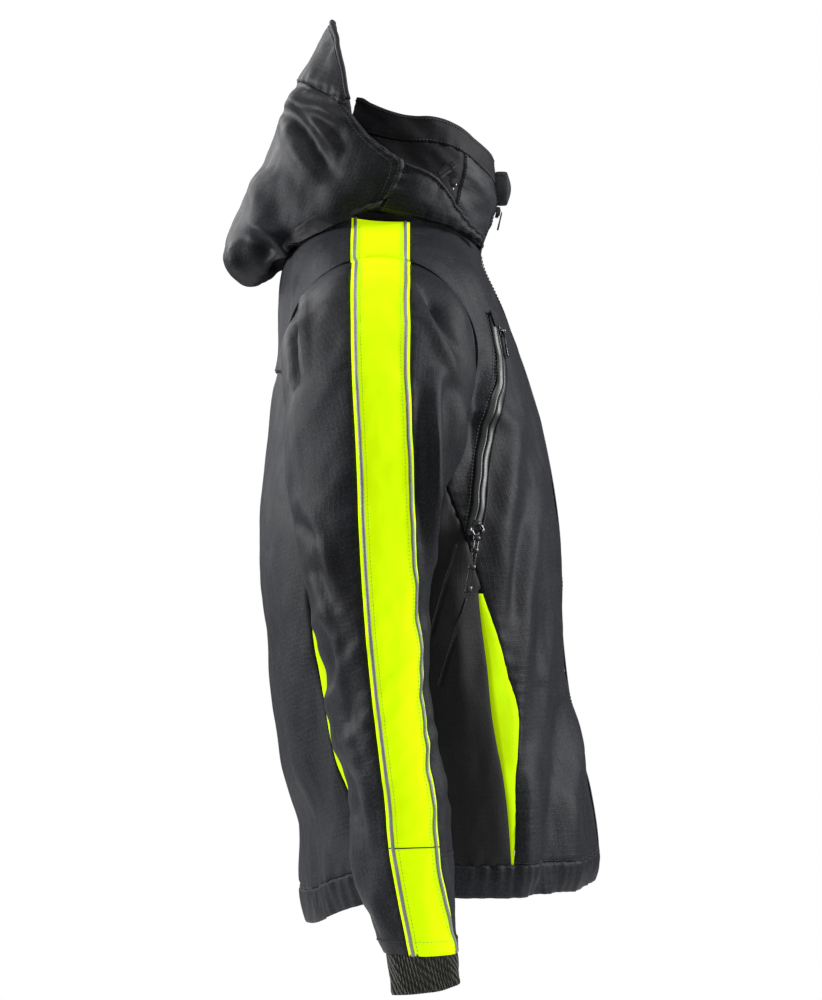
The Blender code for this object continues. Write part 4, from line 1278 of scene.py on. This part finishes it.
u, v = paramGrid(gridCount(0.34), gridCount(0.10))
middlePoints = hoodPoint(mix(-hood["middleShare"], hood["middleShare"], u), v)
piece, middlePoints, sign = hoodCloth("HoodMiddlePanel", middlePoints, "shell", "lr", "", 0.0, 0.0005)
bendWithHood(piece)
finishPiece(piece, None, "shell", "hood_middle_panel")
for tag, side in sides:
    u, v = paramGrid(gridCount(0.34), gridCount(0.19))
    points = hoodPoint(side * mix(hood["middleShare"], 1.0, u), v)
    piece, points, sign = hoodCloth(f"{tag}HoodPanel", points, "shell", "r", "r", 0.0)
    bendWithHood(piece)
    finishPiece(piece, None, "shell", f"{tag}_hood_panel")
    for inset in (0.006, 0.014):
        centre, outward = lineOn(points, column=1, inset=inset, sign=sign)
        bendWithHood(stitches(f"{tag}HoodFlapStitch{inset}", centre, outward, "thread"))

u, v = paramGrid(gridCount(0.075), gridCount(0.27) | 1)
brimPoints = hoodPoint(mix(-0.97, 0.97, u), np.zeros_like(u), mix(0.0, 1.0, v))
piece, brimPoints, sign = hoodCloth("HoodBrim", brimPoints, "shell", "b", "b", 0.0012)
bendWithHood(piece)
finishPiece(piece, None, "shell", "hood_brim")
for inset in (0.0035, 0.0065):
    centre, outward = lineOn(brimPoints, row=1, inset=inset, sign=sign)
    bendWithHood(stitches(f"BrimStitch{inset}", centre, outward, "thread"))
centre, outward = lineOn(brimPoints, row=0, inset=0.003, sign=sign)
bendWithHood(stitches("BrimSeamStitch", centre, outward, "thread"))
centre, outward = lineOn(brimPoints, row=1, inset=0.001, sign=sign, lift=-0.0008)
bendWithHood(stripBetween("BrimRoll", centre, outward, 0.0050, 0.0030, "shell"))

for tag, side in sides:
    u, v = paramGrid(gridCount(0.10), gridCount(0.15))
    lowX, lowY, lowZ, highX, highY, highZ = between(hood["flap"], u)
    points = np.stack((side * mix(lowX, highX, v), mix(lowY, highY, v), mix(lowZ, highZ, v)), -1)
    bulge = 0.004 * np.sin(math.pi * v)
    points[..., 0] += side * bulge
    flat = points.reshape(-1, 3)
    normals = gridNormals(points)
    sign = 1.0 if float((normals[..., 0] * side).mean()) > 0 else -1.0
    rise = 0.0025 * softNoise(flat, (22, 22, 22), 5.0) + 0.0012 * softNoise(flat, (60, 60, 50), 6.0)
    rise = rise.reshape(points.shape[:2]) - borderDip(points, 0.0010, 0.004, "lb")
    rise = rise + puckers(points, "lbt", 0.0009, 0.010, 0.012, 2.0)
    points = points + normals * (rise * sign)[..., None]
    piece = clothObject(f"{tag}HoodFlap", points, hood["wall"], "shell", "lining", flip=sign < 0)
    declareSheet(points)
    finishPiece(piece, "root", "shell", f"{tag}_hood_flap")
    centre, outward = lineOn(points, row=1, inset=0.003, sign=sign)
    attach(stitches(f"{tag}HoodOpeningStitch", centre, outward, "thread"), "root")
    centre, outward = lineOn(points, column=0, inset=0.004, sign=sign)
    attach(stitches(f"{tag}HoodFlapSeamStitch", centre, outward, "thread"), "root")
    centre, outward = lineOn(points, row=0, inset=0.004, sign=sign)
    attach(stitches(f"{tag}HoodFlapLowStitch", centre, outward, "thread"), "root")
    centre, outward = lineOn(points, row=1, inset=0.0006, sign=sign, lift=-0.0006)
    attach(stripBetween(f"{tag}HoodOpeningRoll", centre, outward, 0.0042, 0.0026, "shell"), "root")

u, v = paramGrid(gridCount(0.06), gridCount(0.36) | 1)
side = np.where(u < 0.5, -1.0, 1.0)
share = 1 - np.abs(2 * u - 1)
inner = collarPoint(mix(100.0, 180.0, share), np.full_like(u, 0.08), side)
inner = inner + np.stack((side * 0.004 * (1 - share), 0.004 * share, np.zeros_like(u)), -1)
outer = hoodPoint(side * mix(0.68, 0.0001, share), np.ones_like(u)) + np.array((0, -0.004, 0.002))
points = mix(inner, outer, v[..., None]) + np.array((0, 0.003, 0.002)) * np.sin(math.pi * v)[..., None]
piece = clothObject("HoodNeckStrip", points, 0.0022, "collar", "lining", flip=gridNormals(points)[..., 2].mean() < 0)
declareSheet(points)
finishPiece(piece, "root", "shell", "hood_neck_strip")
print("hood made")


# ---- collar ----
def collarRise(points, strength=1.0):
    flat = points.reshape(-1, 3)
    leaned = flat.copy()
    leaned[:, 2] = flat[:, 2] - flat[:, 1] * 0.8
    rise = 0.0030 * softNoise(leaned, (18, 18, 40), 8.0) + 0.0012 * softNoise(flat, (55, 55, 50), 9.0)
    return (rise * strength).reshape(points.shape[:2])


def collarCloth(name, degrees, level, side, look, lining, edges, pucker, lift, wall, inset=0.0):
    points = collarPoint(degrees, level, side, inset)
    rise = collarRise(points) - borderDip(points, 0.0010, 0.0040, edges) + lift
    if pucker:
        rise = rise + puckers(points, pucker, 0.0008, 0.010, 0.012, len(name))
    normals = gridNormals(points)
    middle = np.array((0.0, -0.07, 0.04))
    away = points - middle
    away[..., 2] = 0
    sign = 1.0 if float((normals * away).sum(-1).mean()) > 0 else -1.0
    points = points + normals * (rise * sign)[..., None]
    piece = clothObject(name, points, wall, look, lining, flip=sign < 0)
    declareSheet(points)
    return piece, points, sign


# the back of the collar, drawn darker than its front
u, v = paramGrid(gridCount(0.085), gridCount(0.30) | 1)
share = 1 - np.abs(2 * u - 1)
side = np.where(u < 0.5, -1.0, 1.0)
piece, backPoints, sign = collarCloth(
    "CollarBack", mix(collar["darkFrom"], 180.0, share), mix(0.0, 0.722, v), side,
    "collar", "lining", "lb", "b", 0.0, 0.0024,
)
finishPiece(piece, "root", "lining", "collar_back")
u, v = paramGrid(gridCount(0.036), gridCount(0.42) | 1)
share = 1 - np.abs(2 * u - 1)
side = np.where(u < 0.5, -1.0, 1.0)
piece, bandPoints, sign = collarCloth(
    "CollarTopBand", mix(7.0, 180.0, share), mix(0.714, 1.0, v), side, "collar", "collar", "b", "b", 0.0012, 0.0030
)
finishPiece(piece, "root", "lining", "collar_top_band")
for row, inset in ((1, 0.0028), (0, 0.0026)):
    centre, outward = lineOn(bandPoints, row=row, inset=inset, sign=sign)
    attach(stitches(f"CollarBandStitch{row}", centre, outward, "thread"), "root")
for tag, side in sides:
    u, v = paramGrid(gridCount(0.085), gridCount(0.075))
    piece, points, sign = collarCloth(
        f"{tag}CollarFront", mix(7.0, collar["darkFrom"], u), mix(0.0, 0.722, v), side,
        "collarLight", "lining", "rb", "rb", 0.0004, 0.0024,
    )
    finishPiece(piece, "root", "shell", f"{tag}_collar_front")
    for column, inset in ((0, 0.004), (0, 0.0085), (1, 0.0035)):
        centre, outward = lineOn(points, column=column, inset=inset, sign=sign)
        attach(stitches(f"{tag}CollarFrontStitch{column}{inset}", centre, outward, "thread"), "root")
u, v = paramGrid(gridCount(0.10), gridCount(0.42) | 1)
share = 1 - np.abs(2 * u - 1)
side = np.where(u < 0.5, -1.0, 1.0)
piece, points, sign = collarCloth(
    "CollarLining", mix(7.0, 180.0, share), mix(0.02, 0.985, v), side,
    "lining", "lining", "", "", 0.0, 0.0020, inset=0.0036,
)
finishPiece(piece, "root", "lining", "collar_lining")
print("collar made")


# ---- hard pieces, shaped from primitives ----
def clearSelection():
    if bpy.context.object and bpy.context.object.mode != "OBJECT":
        bpy.ops.object.mode_set(mode="OBJECT")
    bpy.ops.object.select_all(action="DESELECT")


def beginBox(name, size):
    clearSelection()
    bpy.ops.mesh.primitive_cube_add(size=1)
    made = bpy.context.object
    made.name = name
    bpy.ops.object.mode_set(mode="EDIT")
    bpy.ops.mesh.select_all(action="SELECT")
    bpy.ops.transform.resize(value=size, center_override=(0, 0, 0))
    return made


def bevelAll(width, segments=3):
    bpy.ops.mesh.select_mode(type="EDGE")
    bpy.ops.mesh.select_all(action="SELECT")
    bpy.ops.mesh.bevel(offset=width, segments=segments, affect="EDGES", profile=0.5)


def selectFaces(made, test):
    bpy.ops.mesh.select_mode(type="FACE")
    bpy.ops.mesh.select_all(action="DESELECT")
    form = bmesh.from_edit_mesh(made.data)
    for face in form.faces:
        face.select = bool(test(face.calc_center_median(), face.normal))
    bmesh.update_edit_mesh(made.data)


def endPiece(made, look, matrix):
    bpy.ops.object.mode_set(mode="OBJECT")
    bpy.ops.object.shade_smooth_by_angle(angle=math.radians(38))
    made.data.transform(matrix)
    made.data.materials.clear()
    made.data.materials.append(materials[look])
    if matrix.determinant() < 0:
        made.data.flip_normals()
    return made


def joinPieces(name, pieces):
    clearSelection()
    for piece in pieces:
        piece.select_set(True)
    bpy.context.view_layer.objects.active = pieces[0]
    bpy.ops.object.join()
    pieces[0].name = name
    return pieces[0]


def placed(place, turn):
    return Matrix.Translation(place) @ turn.to_4x4()


def frameOn(outward, along):
    outward = outward.normalized()
    along = (along - outward * along.dot(outward)).normalized()
    return Matrix((along, outward.cross(along), outward)).transposed()


def zipSlider(name, length, width, height, matrix):
    body = beginBox(name, (length, width, height))
    selectFaces(body, lambda centre, normal: normal.z > 0.9)
    bpy.ops.mesh.inset(thickness=width * 0.22)
    bpy.ops.mesh.extrude_region_move(TRANSFORM_OT_translate={"value": (0, 0, height * 0.30)})
    bpy.ops.transform.resize(value=(0.86, 0.7, 1), center_override=(0, 0, height * 0.8))
    bevelAll(0.0005, 2)
    return endPiece(body, "enamel", matrix)


def zipPull(name, length, width, thick, matrix):
    body = beginBox(name, (length * 0.5, width * 0.62, thick))
    bpy.ops.transform.translate(value=(length * 0.25 + 0.0006, 0, 0))
    selectFaces(body, lambda centre, normal: normal.x > 0.9)
    bpy.ops.mesh.extrude_region_move(TRANSFORM_OT_translate={"value": (length * 0.16, 0, 0)})
    bpy.ops.transform.resize(value=(1, 1.45, 1.2), center_override=(0, 0, 0))
    bpy.ops.mesh.extrude_region_move(TRANSFORM_OT_translate={"value": (length * 0.26, 0, 0)})
    bpy.ops.mesh.extrude_region_move(TRANSFORM_OT_translate={"value": (length * 0.06, 0, 0)})
    bpy.ops.transform.resize(value=(1, 0.7, 0.8), center_override=(0, 0, 0))
    bevelAll(thick * 0.28, 2)
    body = endPiece(body, "enamel", matrix)
    clearSelection()
    bpy.ops.mesh.primitive_torus_add(
        major_radius=width * 0.36, minor_radius=thick * 0.36, major_segments=20, minor_segments=8
    )
    eye = bpy.context.object
    bpy.ops.object.mode_set(mode="EDIT")
    bpy.ops.mesh.select_all(action="SELECT")
    bpy.ops.transform.translate(value=(0.0008, 0, 0))
    eye = endPiece(eye, "enamel", matrix)
    return joinPieces(name, [body, eye])


def longPull(name, length, matrix):
    # a ring, then two slim links side by side to a small bead at the end
    pieces = []
    clearSelection()
    bpy.ops.mesh.primitive_torus_add(major_radius=0.0060, minor_radius=0.0013, major_segments=28, minor_segments=8)
    ring = bpy.context.object
    bpy.ops.object.mode_set(mode="EDIT")
    bpy.ops.mesh.select_all(action="SELECT")
    bpy.ops.transform.translate(value=(0.0052, 0, 0))
    pieces.append(endPiece(ring, "enamel", matrix))
    for sideways in (-1, 1):
        link = beginBox(name + "Link", (length - 0.012, 0.0017, 0.0014))
        bpy.ops.transform.translate(value=((length + 0.010) / 2, 0.0020 * sideways, 0))
        bevelAll(0.0003, 2)
        pieces.append(endPiece(link, "enamel", matrix))
    for place in (0.0135, length * 0.36, length * 0.6, length - 0.006):
        bead = beginBox(name + "Bead", (0.0070 if place > length * 0.8 else 0.0046, 0.0070, 0.0026))
        bpy.ops.transform.translate(value=(place, 0, 0))
        bevelAll(0.0006, 2)
        pieces.append(endPiece(bead, "enamel", matrix))
    return joinPieces(name, pieces)


# ---- chest zips ----
chestZip = {
    "line": (
        (-0.1490, -0.1210), (-0.1560, -0.1560), (-0.1590, -0.1880), (-0.1530, -0.2160),
        (-0.1440, -0.2440), (-0.1380, -0.2800), (-0.1350, -0.3140), (-0.1290, -0.3460),
    ),
    "width": 0.0150,
    "lip": 0.0014,
}


def seatOn(tree, side, y, z):
    hit = tree.ray_cast(Vector((side * 0.6, y, z)), Vector((-side, 0, 0)))
    place, normal = (hit[0], hit[1]) if hit[0] is not None else (Vector((side * 0.18, y, z)), Vector((side, 0, 0)))
    if normal.x * side < 0:
        normal = -normal
    return place, normal


def smoothRows(table, times):
    table = table.copy()
    for _ in range(times):
        table[1:-1] = (table[:-2] + table[1:-1] * 2 + table[2:]) / 4
    return table


def zipTape(tag, side):
    rows = [(i / (len(chestZip["line"]) - 1), y, z) for i, (y, z) in enumerate(chestZip["line"])]
    y, z = between(rows, np.linspace(0, 1, 150))
    seats = [seatOn(trees[side], side, a, b) for a, b in zip(y, z)]
    centre = smoothRows(np.array([place for place, normal in seats]), 6)
    outward = smoothRows(np.array([normal for place, normal in seats]), 10)
    outward /= np.linalg.norm(outward, axis=1, keepdims=True)
    along = np.gradient(centre, axis=0)
    along /= np.linalg.norm(along, axis=1, keepdims=True)
    across = np.cross(outward, along)
    across /= np.linalg.norm(across, axis=1, keepdims=True)
    lip = chestZip["lip"]
    half = chestZip["width"] / 2
    profile = [
        (-half, 0.0008), (-half * 0.94, 0.0022), (-half * 0.60, 0.0030), (-half * 0.30, 0.0032 + lip * 0.4),
        (-half * 0.10, 0.0030 + lip * 0.6), (-half * 0.02, 0.0026), (0.0, 0.0014), (half * 0.02, 0.0026),
        (half * 0.10, 0.0030 + lip * 0.6), (half * 0.30, 0.0032 + lip * 0.4), (half * 0.60, 0.0030),
        (half * 0.94, 0.0022), (half, 0.0008),
    ]
    taper = np.clip(np.minimum(np.linspace(0, 1, 150) / 0.03, 1.0), 0.35, 1)[:, None]
    wave = (0.0006 * np.sin(np.linspace(0, 1, 150) * 46 + side))[:, None]
    points = np.stack([centre + across * (a * taper + wave) + outward * h for a, h in profile], 1)
    normals = gridNormals(points)
    sign = 1.0 if float((normals * outward[:, None]).sum(-1).mean()) > 0 else -1.0
    piece = clothObject(f"{tag}ChestZip", points, 0.0012, "coated", "coated", flip=sign < 0)
    declareSheet(points)
    finishPiece(piece, "root", "coated", f"{tag}_chest_zip")
    for sideways in (-1, 1):
        edge = centre + across * (sideways * (half + 0.0022)) + outward * 0.0012
        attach(stitches(f"{tag}ZipStitch{sideways}", edge, outward, "thread"), "root")
    rope = centre + across * (half + 0.0006) + outward * 0.0010
    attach(stripBetween(f"{tag}ZipWelt", rope, outward, 0.0034, 0.0022, "shell"), "root")
    # a folded garage over the top end and a small tab at the low end
    for label, index, length, width in (("Garage", 5, 0.017, 0.0155), ("LowTab", 146, 0.011, 0.0125)):
        turn = frameOn(Vector(outward[index]), Vector(along[index]))
        cap = beginBox(f"{tag}Zip{label}", (length, width, 0.0022))
        selectFaces(cap, lambda middle, normal: normal.x > 0.9 if label == "Garage" else normal.x < -0.9)
        bpy.ops.transform.resize(value=(1, 0.45, 0.7), center_override=(0, 0, 0))
        bevelAll(0.0007, 2)
        place = Vector(centre[index]) + Vector(outward[index]) * 0.0042
        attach(endPiece(cap, "shell" if label == "Garage" else "plastic", placed(place, turn)), "root")


for tag, side in sides:
    zipTape(tag, side)
    upper = Vector((side * 0.141024, -0.159002, -0.139745))
    upperX = Vector((side * 0.29749, -0.16280, -0.94074))
    upperZ = Vector((side * 0.43548, -0.85374, 0.28545))
    lower = Vector((side * 0.231843, -0.133468, -0.335459))
    lowerX = Vector((-side * 0.27345, -0.15833, 0.94876))
    lowerZ = Vector((side * 0.89702, -0.39806, 0.19211))
    for label, place, along, outward in (("upper", upper, upperX, upperZ), ("lower", lower, lowerX, lowerZ)):
        turn = frameOn(outward, along)
        piece = zipSlider(f"{tag}{label.title()}Slider", 0.0112, 0.0082, 0.0034, placed(place, turn))
        finishPiece(piece, f"{tag}_{label}_slider", "enamel", f"{tag}_{label}_slider")
        hinge = place + outward.normalized() * 0.0040
        if label == "upper":
            piece = zipPull(f"{tag}UpperPull", 0.030, 0.0064, 0.0018, placed(hinge, turn))
        else:
            turned = frameOn(outward, -along)
            piece = longPull(f"{tag}LowerPull", 0.072, placed(hinge, turned))
        finishPiece(piece, f"{tag}_{label}_pull", "enamel", f"{tag}_{label}_pull")

# seams of the side pocket bags, as (y, z) ends on the side panel
pocket = {
    "seams": (((-0.1132, -0.3532), (-0.0877, -0.4417)), ((-0.1230, -0.4063), (-0.0955, -0.4918))),
    "steps": 24,
    "width": 0.0026,
    "height": 0.0009,
}
for tag, side in sides:
    for number, (high, low) in enumerate(pocket["seams"]):
        shares = np.linspace(0, 1, pocket["steps"])
        seats = [seatOn(trees[side], side, *mix(np.array(high), np.array(low), share)) for share in shares]
        centre = np.array([list(place) for place, normal in seats])
        outward = np.array([list(normal) for place, normal in seats])
        seam = stripBetween(f"{tag}PocketSeam{number}", centre, outward, pocket["width"], pocket["height"], "shell")
        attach(seam, "root")
print("chest zips made")


# ---- main zip ----
mainZip = {"toothPitch": 0.0027, "toothSize": (0.0058, 0.0017, 0.0016), "tape": 0.024}


def middleLine(count=260):
    low = torsoPoint(np.zeros(count), np.linspace(0.004, 0.996, count), -1)
    high = collarPoint(np.zeros(40), np.linspace(0.04, 0.95, 40), -1)
    whole = smoothRows(np.concatenate((low, high)), 4)
    whole[:, 0] = 0
    along = np.gradient(whole, axis=0)
    along /= np.linalg.norm(along, axis=1, keepdims=True)
    outward = np.stack((np.zeros(len(whole)), -along[:, 2], along[:, 1]), -1)
    outward *= np.where(outward[:, 1:2] > 0, -1, 1)
    return whole, outward, along


centre, outward, along = middleLine()
tape = stripBetween("MainZipTape", centre - outward * 0.0006, outward, mainZip["tape"], 0.0010, "coated")
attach(tape, "root")
lengths = np.concatenate(([0], np.cumsum(np.linalg.norm(np.diff(centre, axis=0), axis=1))))
stops = np.arange(0.004, lengths[-1] - 0.004, mainZip["toothPitch"])
toothVerts, toothFaces = [], []
boxFaces = ((0, 1, 3, 2), (4, 6, 7, 5), (0, 4, 5, 1), (2, 3, 7, 6), (0, 2, 6, 4), (1, 5, 7, 3))
for number, stop in enumerate(stops):
    place = np.array([np.interp(stop, lengths, centre[:, axis]) for axis in range(3)])
    out = np.array([np.interp(stop, lengths, outward[:, axis]) for axis in range(3)])
    up = np.array([np.interp(stop, lengths, along[:, axis]) for axis in range(3)])
    shift = 0.0007 * (1 if number % 2 else -1)
    start = len(toothVerts)
    sx, sy, sz = mainZip["toothSize"]
    for a in (-0.5, 0.5):
        for b in (-0.5, 0.5):
            for c in (-0.2, 0.8):
                narrow = 0.8 if c > 0 else 1.0
                toothVerts.append(tuple(
                    place + np.array((1.0, 0, 0)) * (a * sx * narrow + shift)
                    + up * b * sy * narrow + out * (c * sz - 0.0032)
                ))
    toothFaces += [tuple(start + k for k in face) for face in boxFaces]
mesh = bpy.data.meshes.new("MainZipTeeth")
mesh.from_pydata(toothVerts, [], toothFaces)
mesh.materials.append(materials["plastic"])
form = bmesh.new()
form.from_mesh(mesh)
bmesh.ops.recalc_face_normals(form, faces=form.faces[:])
form.to_mesh(mesh)
form.free()
teeth = bpy.data.objects.new("MainZipTeeth", mesh)
bpy.context.scene.collection.objects.link(teeth)
finishPiece(teeth, "root", "plastic", "main_zip_chain")
slide = Vector((0, 0.22950, -0.97331))
face = Vector((0, -0.97331, -0.22950))
turn = frameOn(face, slide)
piece = zipSlider("MainSlider", 0.0112, 0.0088, 0.0036, placed(Vector((0, -0.159982, -0.00814)), turn))
finishPiece(piece, "main_slider", "enamel", "main_slider")
piece = zipPull("MainPull", 0.018, 0.0050, 0.0016, placed(Vector((0, -0.16407, -0.009104)), turn))
finishPiece(piece, "main_pull", "enamel", "main_pull")

u, v = paramGrid(gridCount(0.62), 18)
frontLine, frontOut, frontAlong = middleLine()
part = slice(3, 236)
count = u.shape[0]
pick = np.linspace(part.start, part.stop, count)
line = np.stack([np.interp(pick, np.arange(len(frontLine)), frontLine[:, axis]) for axis in range(3)], -1)
out = np.stack([np.interp(pick, np.arange(len(frontLine)), frontOut[:, axis]) for axis in range(3)], -1)
points = line[:, None] + np.array((1.0, 0, 0)) * ((u - 0.5) * 0.052)[..., None] - out[:, None] * 0.0074
points[..., 1] += 0.0005 * np.sin(points[..., 2] * 90)
normals = gridNormals(points)
piece = clothObject("InnerStormFlap", points, 0.0020, "lining", "lining", flip=float(normals[..., 1].mean()) > 0)
declareSheet(points)
finishPiece(piece, "root", "shell", "inner_storm_flap")
for tag, side in sides:
    points = lines[f"{tag}Front"]
    sign = outwardSign(points, gridNormals(points), side)
    for inset in (0.003, 0.008):
        centre, outward = lineOn(points, column=0, inset=inset, sign=sign)
        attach(stitches(f"{tag}FrontEdgeStitch{inset}", centre, outward, "thread"), "root")
print("main zip made")


# ---- chin guard, cord locks, tabs, hanger loop, neck tape ----
clearSelection()
guard = beginBox("ChinGuard", (0.026, 0.0135, 0.0370))
bpy.ops.mesh.subdivide(number_cuts=5)
bpy.ops.mesh.select_all(action="SELECT")
bpy.ops.transform.tosphere(value=0.45, center_override=(0, 0, 0))
bpy.ops.object.mode_set(mode="OBJECT")
rounding = guard.modifiers.new("round", "SUBSURF")
rounding.levels = rounding.render_levels = 2
bpy.ops.object.modifier_apply(modifier="round")
bpy.ops.object.mode_set(mode="EDIT")
endPiece(guard, "collarLight", Matrix.Translation((0.0, -0.1636, 0.0168)))
finishPiece(guard, "root", "shell", "chin_guard")
rimTurns = np.linspace(0, 2 * math.pi, 60)
for tag, side in sides:
    rim = np.stack((
        np.full(60, side * 0.0128),
        -0.1636 + 0.0048 * signedPower(np.cos(rimTurns), 0.7),
        0.0170 + 0.0145 * signedPower(np.sin(rimTurns), 0.7),
    ), -1)
    facing = np.tile(np.array((float(side), 0, 0)), (60, 1))
    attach(stitches(f"{tag}ChinStitch", rim, facing, "thread"), "root")

lockAxis = Vector((0, -0.80, 0.60)).normalized()
for tag, side in sides:
    place = Vector((side * 0.0925, -0.103, 0.026))
    turn = lockAxis.to_track_quat("Z", "Y").to_matrix()
    clearSelection()
    bpy.ops.mesh.primitive_cylinder_add(vertices=40, radius=0.0052, depth=0.0120)
    barrel = bpy.context.object
    barrel.name = f"{tag}CordLock"
    bpy.ops.object.mode_set(mode="EDIT")
    selectFaces(barrel, lambda middle, normal: normal.z > 0.9)
    bpy.ops.mesh.inset(thickness=0.0010)
    bpy.ops.mesh.extrude_region_move(TRANSFORM_OT_translate={"value": (0, 0, -0.0012)})
    selectFaces(barrel, lambda middle, normal: normal.z < -0.9)
    bpy.ops.mesh.inset(thickness=0.0012)
    bpy.ops.mesh.extrude_region_move(TRANSFORM_OT_translate={"value": (0, 0, -0.0008)})
    piece = endPiece(barrel, "plastic", placed(place, turn))
    finishPiece(piece, "root", "plastic", f"{tag}_cord_lock")
    clearSelection()
    bpy.ops.mesh.primitive_cylinder_add(vertices=36, radius=0.0039, depth=0.0040)
    knob = bpy.context.object
    bpy.ops.object.mode_set(mode="EDIT")
    selectFaces(knob, lambda middle, normal: normal.z > 0.9)
    bpy.ops.mesh.inset(thickness=0.0008)
    bpy.ops.mesh.extrude_region_move(TRANSFORM_OT_translate={"value": (0, 0, 0.0004)})
    piece = endPiece(knob, "plastic", placed(place + lockAxis * 0.0108, turn))
    piece.name = f"{tag}LockButton"
    finishPiece(piece, f"{tag}_lock_button", "plastic", f"{tag}_lock_button")
    tab = beginBox(f"{tag}CordTab", (0.0022, 0.0100, 0.0085))
    bevelAll(0.0007, 2)
    tabTurn = Matrix.Rotation(math.radians(-18), 3, "X")
    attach(endPiece(tab, "plastic", placed(Vector((side * 0.0905, -0.1135, 0.0150)), tabTurn)), "root")
    for number, (y, z) in enumerate(((-0.1120, 0.0085), (-0.1150, 0.0125))):
        clearSelection()
        bpy.ops.mesh.primitive_uv_sphere_add(segments=16, ring_count=8, radius=0.0011)
        dot = bpy.context.object
        dot.name = f"{tag}CordEnd{number}"
        bpy.ops.object.mode_set(mode="EDIT")
        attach(endPiece(dot, "steel", Matrix.Translation((side * 0.0918, y, z))), "root")

loop = beginBox("HangerLoop", (0.064, 0.0026, 0.0018))
bpy.ops.transform.translate(value=(0, -0.0012, 0.0009))
selectFaces(loop, lambda middle, normal: normal.y > 0.9)
bpy.ops.mesh.inset(thickness=0.00001)
bevelAll(0.0003, 2)
loop = endPiece(loop, "lining", Matrix.Identity(4))
legs = [loop]
for side in (-1, 1):
    leg = beginBox("HangerLeg", (0.0060, 0.0066, 0.0018))
    bpy.ops.transform.translate(value=(side * 0.029, 0.0018, 0.0009))
    bevelAll(0.0003, 2)
    legs.append(endPiece(leg, "lining", Matrix.Identity(4)))
loop = joinPieces("HangerLoop", legs)
finishPiece(loop, "root", "lining", "hanger_loop")

turns = np.linspace(-38, 38, 60)
tapeLine = np.stack([
    collarPoint(np.array(180.0 - abs(turn)), np.array(0.03), -1 if turn < 0 else 1, 0.0076) for turn in turns
])
tapeLine[:, 2] = -0.017
facing = np.stack((-tapeLine[:, 0], -(tapeLine[:, 1] + 0.062), np.zeros(60)), -1)
facing /= np.linalg.norm(facing, axis=1, keepdims=True)
tape = stripBetween("NeckTape", tapeLine, facing, 0.012, 0.0008, "lining")
finishPiece(tape, "root", "lining", "neck_tape")
print("small pieces made")


# ---- stitching on the body ----
for tag, side in sides:
    points = lines[f"{tag}Front"]
    sign = outwardSign(points, gridNormals(points), side)
    centre, outward = lineOn(points, row=0, inset=0.003, sign=sign)
    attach(stitches(f"{tag}HemSeamStitch", centre, outward, "thread"), "root")
sign = outwardSign(lines["yoke"], gridNormals(lines["yoke"]), 0)
centre, outward = lineOn(lines["yoke"], row=0, inset=0.003, sign=sign)
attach(stitches("YokeStitch", centre, outward, "thread"), "root")

# ---- floor and light ----
stageSet = {
    "floorZ": -1.10,
    "floorRadius": 1.4,
    "key": (150.0, (-0.25, -3.2, 1.1), (1.0, 1.4)),
    "rim": (180.0, (-0.15, 3.3, 0.8), (0.9, 1.6)),
    "fill": (13.0, (-3.4, -0.4, 0.8), (2.0, 2.0)),
    "top": (34.0, (-0.6, -0.2, 2.6), (1.6, 1.6)),
    "back": (50.0, (2.4, 2.0, 1.2), (1.6, 1.6)),
    "world": 0.14,
}
clearSelection()
bpy.ops.mesh.primitive_cylinder_add(
    vertices=96, radius=stageSet["floorRadius"], depth=0.02, location=(0, 0, stageSet["floorZ"] - 0.01)
)
floor = bpy.context.object
floor.name = "Floor"
floor.data.materials.append(plainLook("floorPaint", (0.80, 0.80, 0.80), 0.7, grain=0.02, spread=0.02))


def addLight(name, power, place, size):
    lamp = bpy.data.lights.new(name, "AREA")
    lamp.shape = "RECTANGLE"
    lamp.energy = power
    lamp.size, lamp.size_y = size
    made = bpy.data.objects.new(name, lamp)
    made.location = place
    aim = Vector((0, -0.05, -0.30)) - Vector(place)
    made.rotation_euler = aim.to_track_quat("-Z", "Y").to_euler()
    bpy.context.scene.collection.objects.link(made)


for name in ("key", "rim", "fill", "top", "back"):
    addLight(name + "Light", *stageSet[name])
world = bpy.data.worlds.new("studio")
bpy.context.scene.world = world
world.use_nodes = True
nodes, links = world.node_tree.nodes, world.node_tree.links
output = nodes["World Output"]
lighting = nodes["Background"]
lighting.inputs["Color"].default_value = (1, 1, 1, 1)
lighting.inputs["Strength"].default_value = stageSet["world"]
seen = nodes.new("ShaderNodeBackground")
seen.inputs["Color"].default_value = (1, 1, 1, 1)
seen.inputs["Strength"].default_value = 1.0
rays = nodes.new("ShaderNodeLightPath")
chosen = nodes.new("ShaderNodeMixShader")
links.new(rays.outputs["Is Camera Ray"], chosen.inputs[0])
links.new(lighting.outputs[0], chosen.inputs[1])
links.new(seen.outputs[0], chosen.inputs[2])
links.new(chosen.outputs[0], output.inputs["Surface"])
bpy.context.scene.view_settings.view_transform = "Standard"
print("floor and lights placed")

clearSelection()
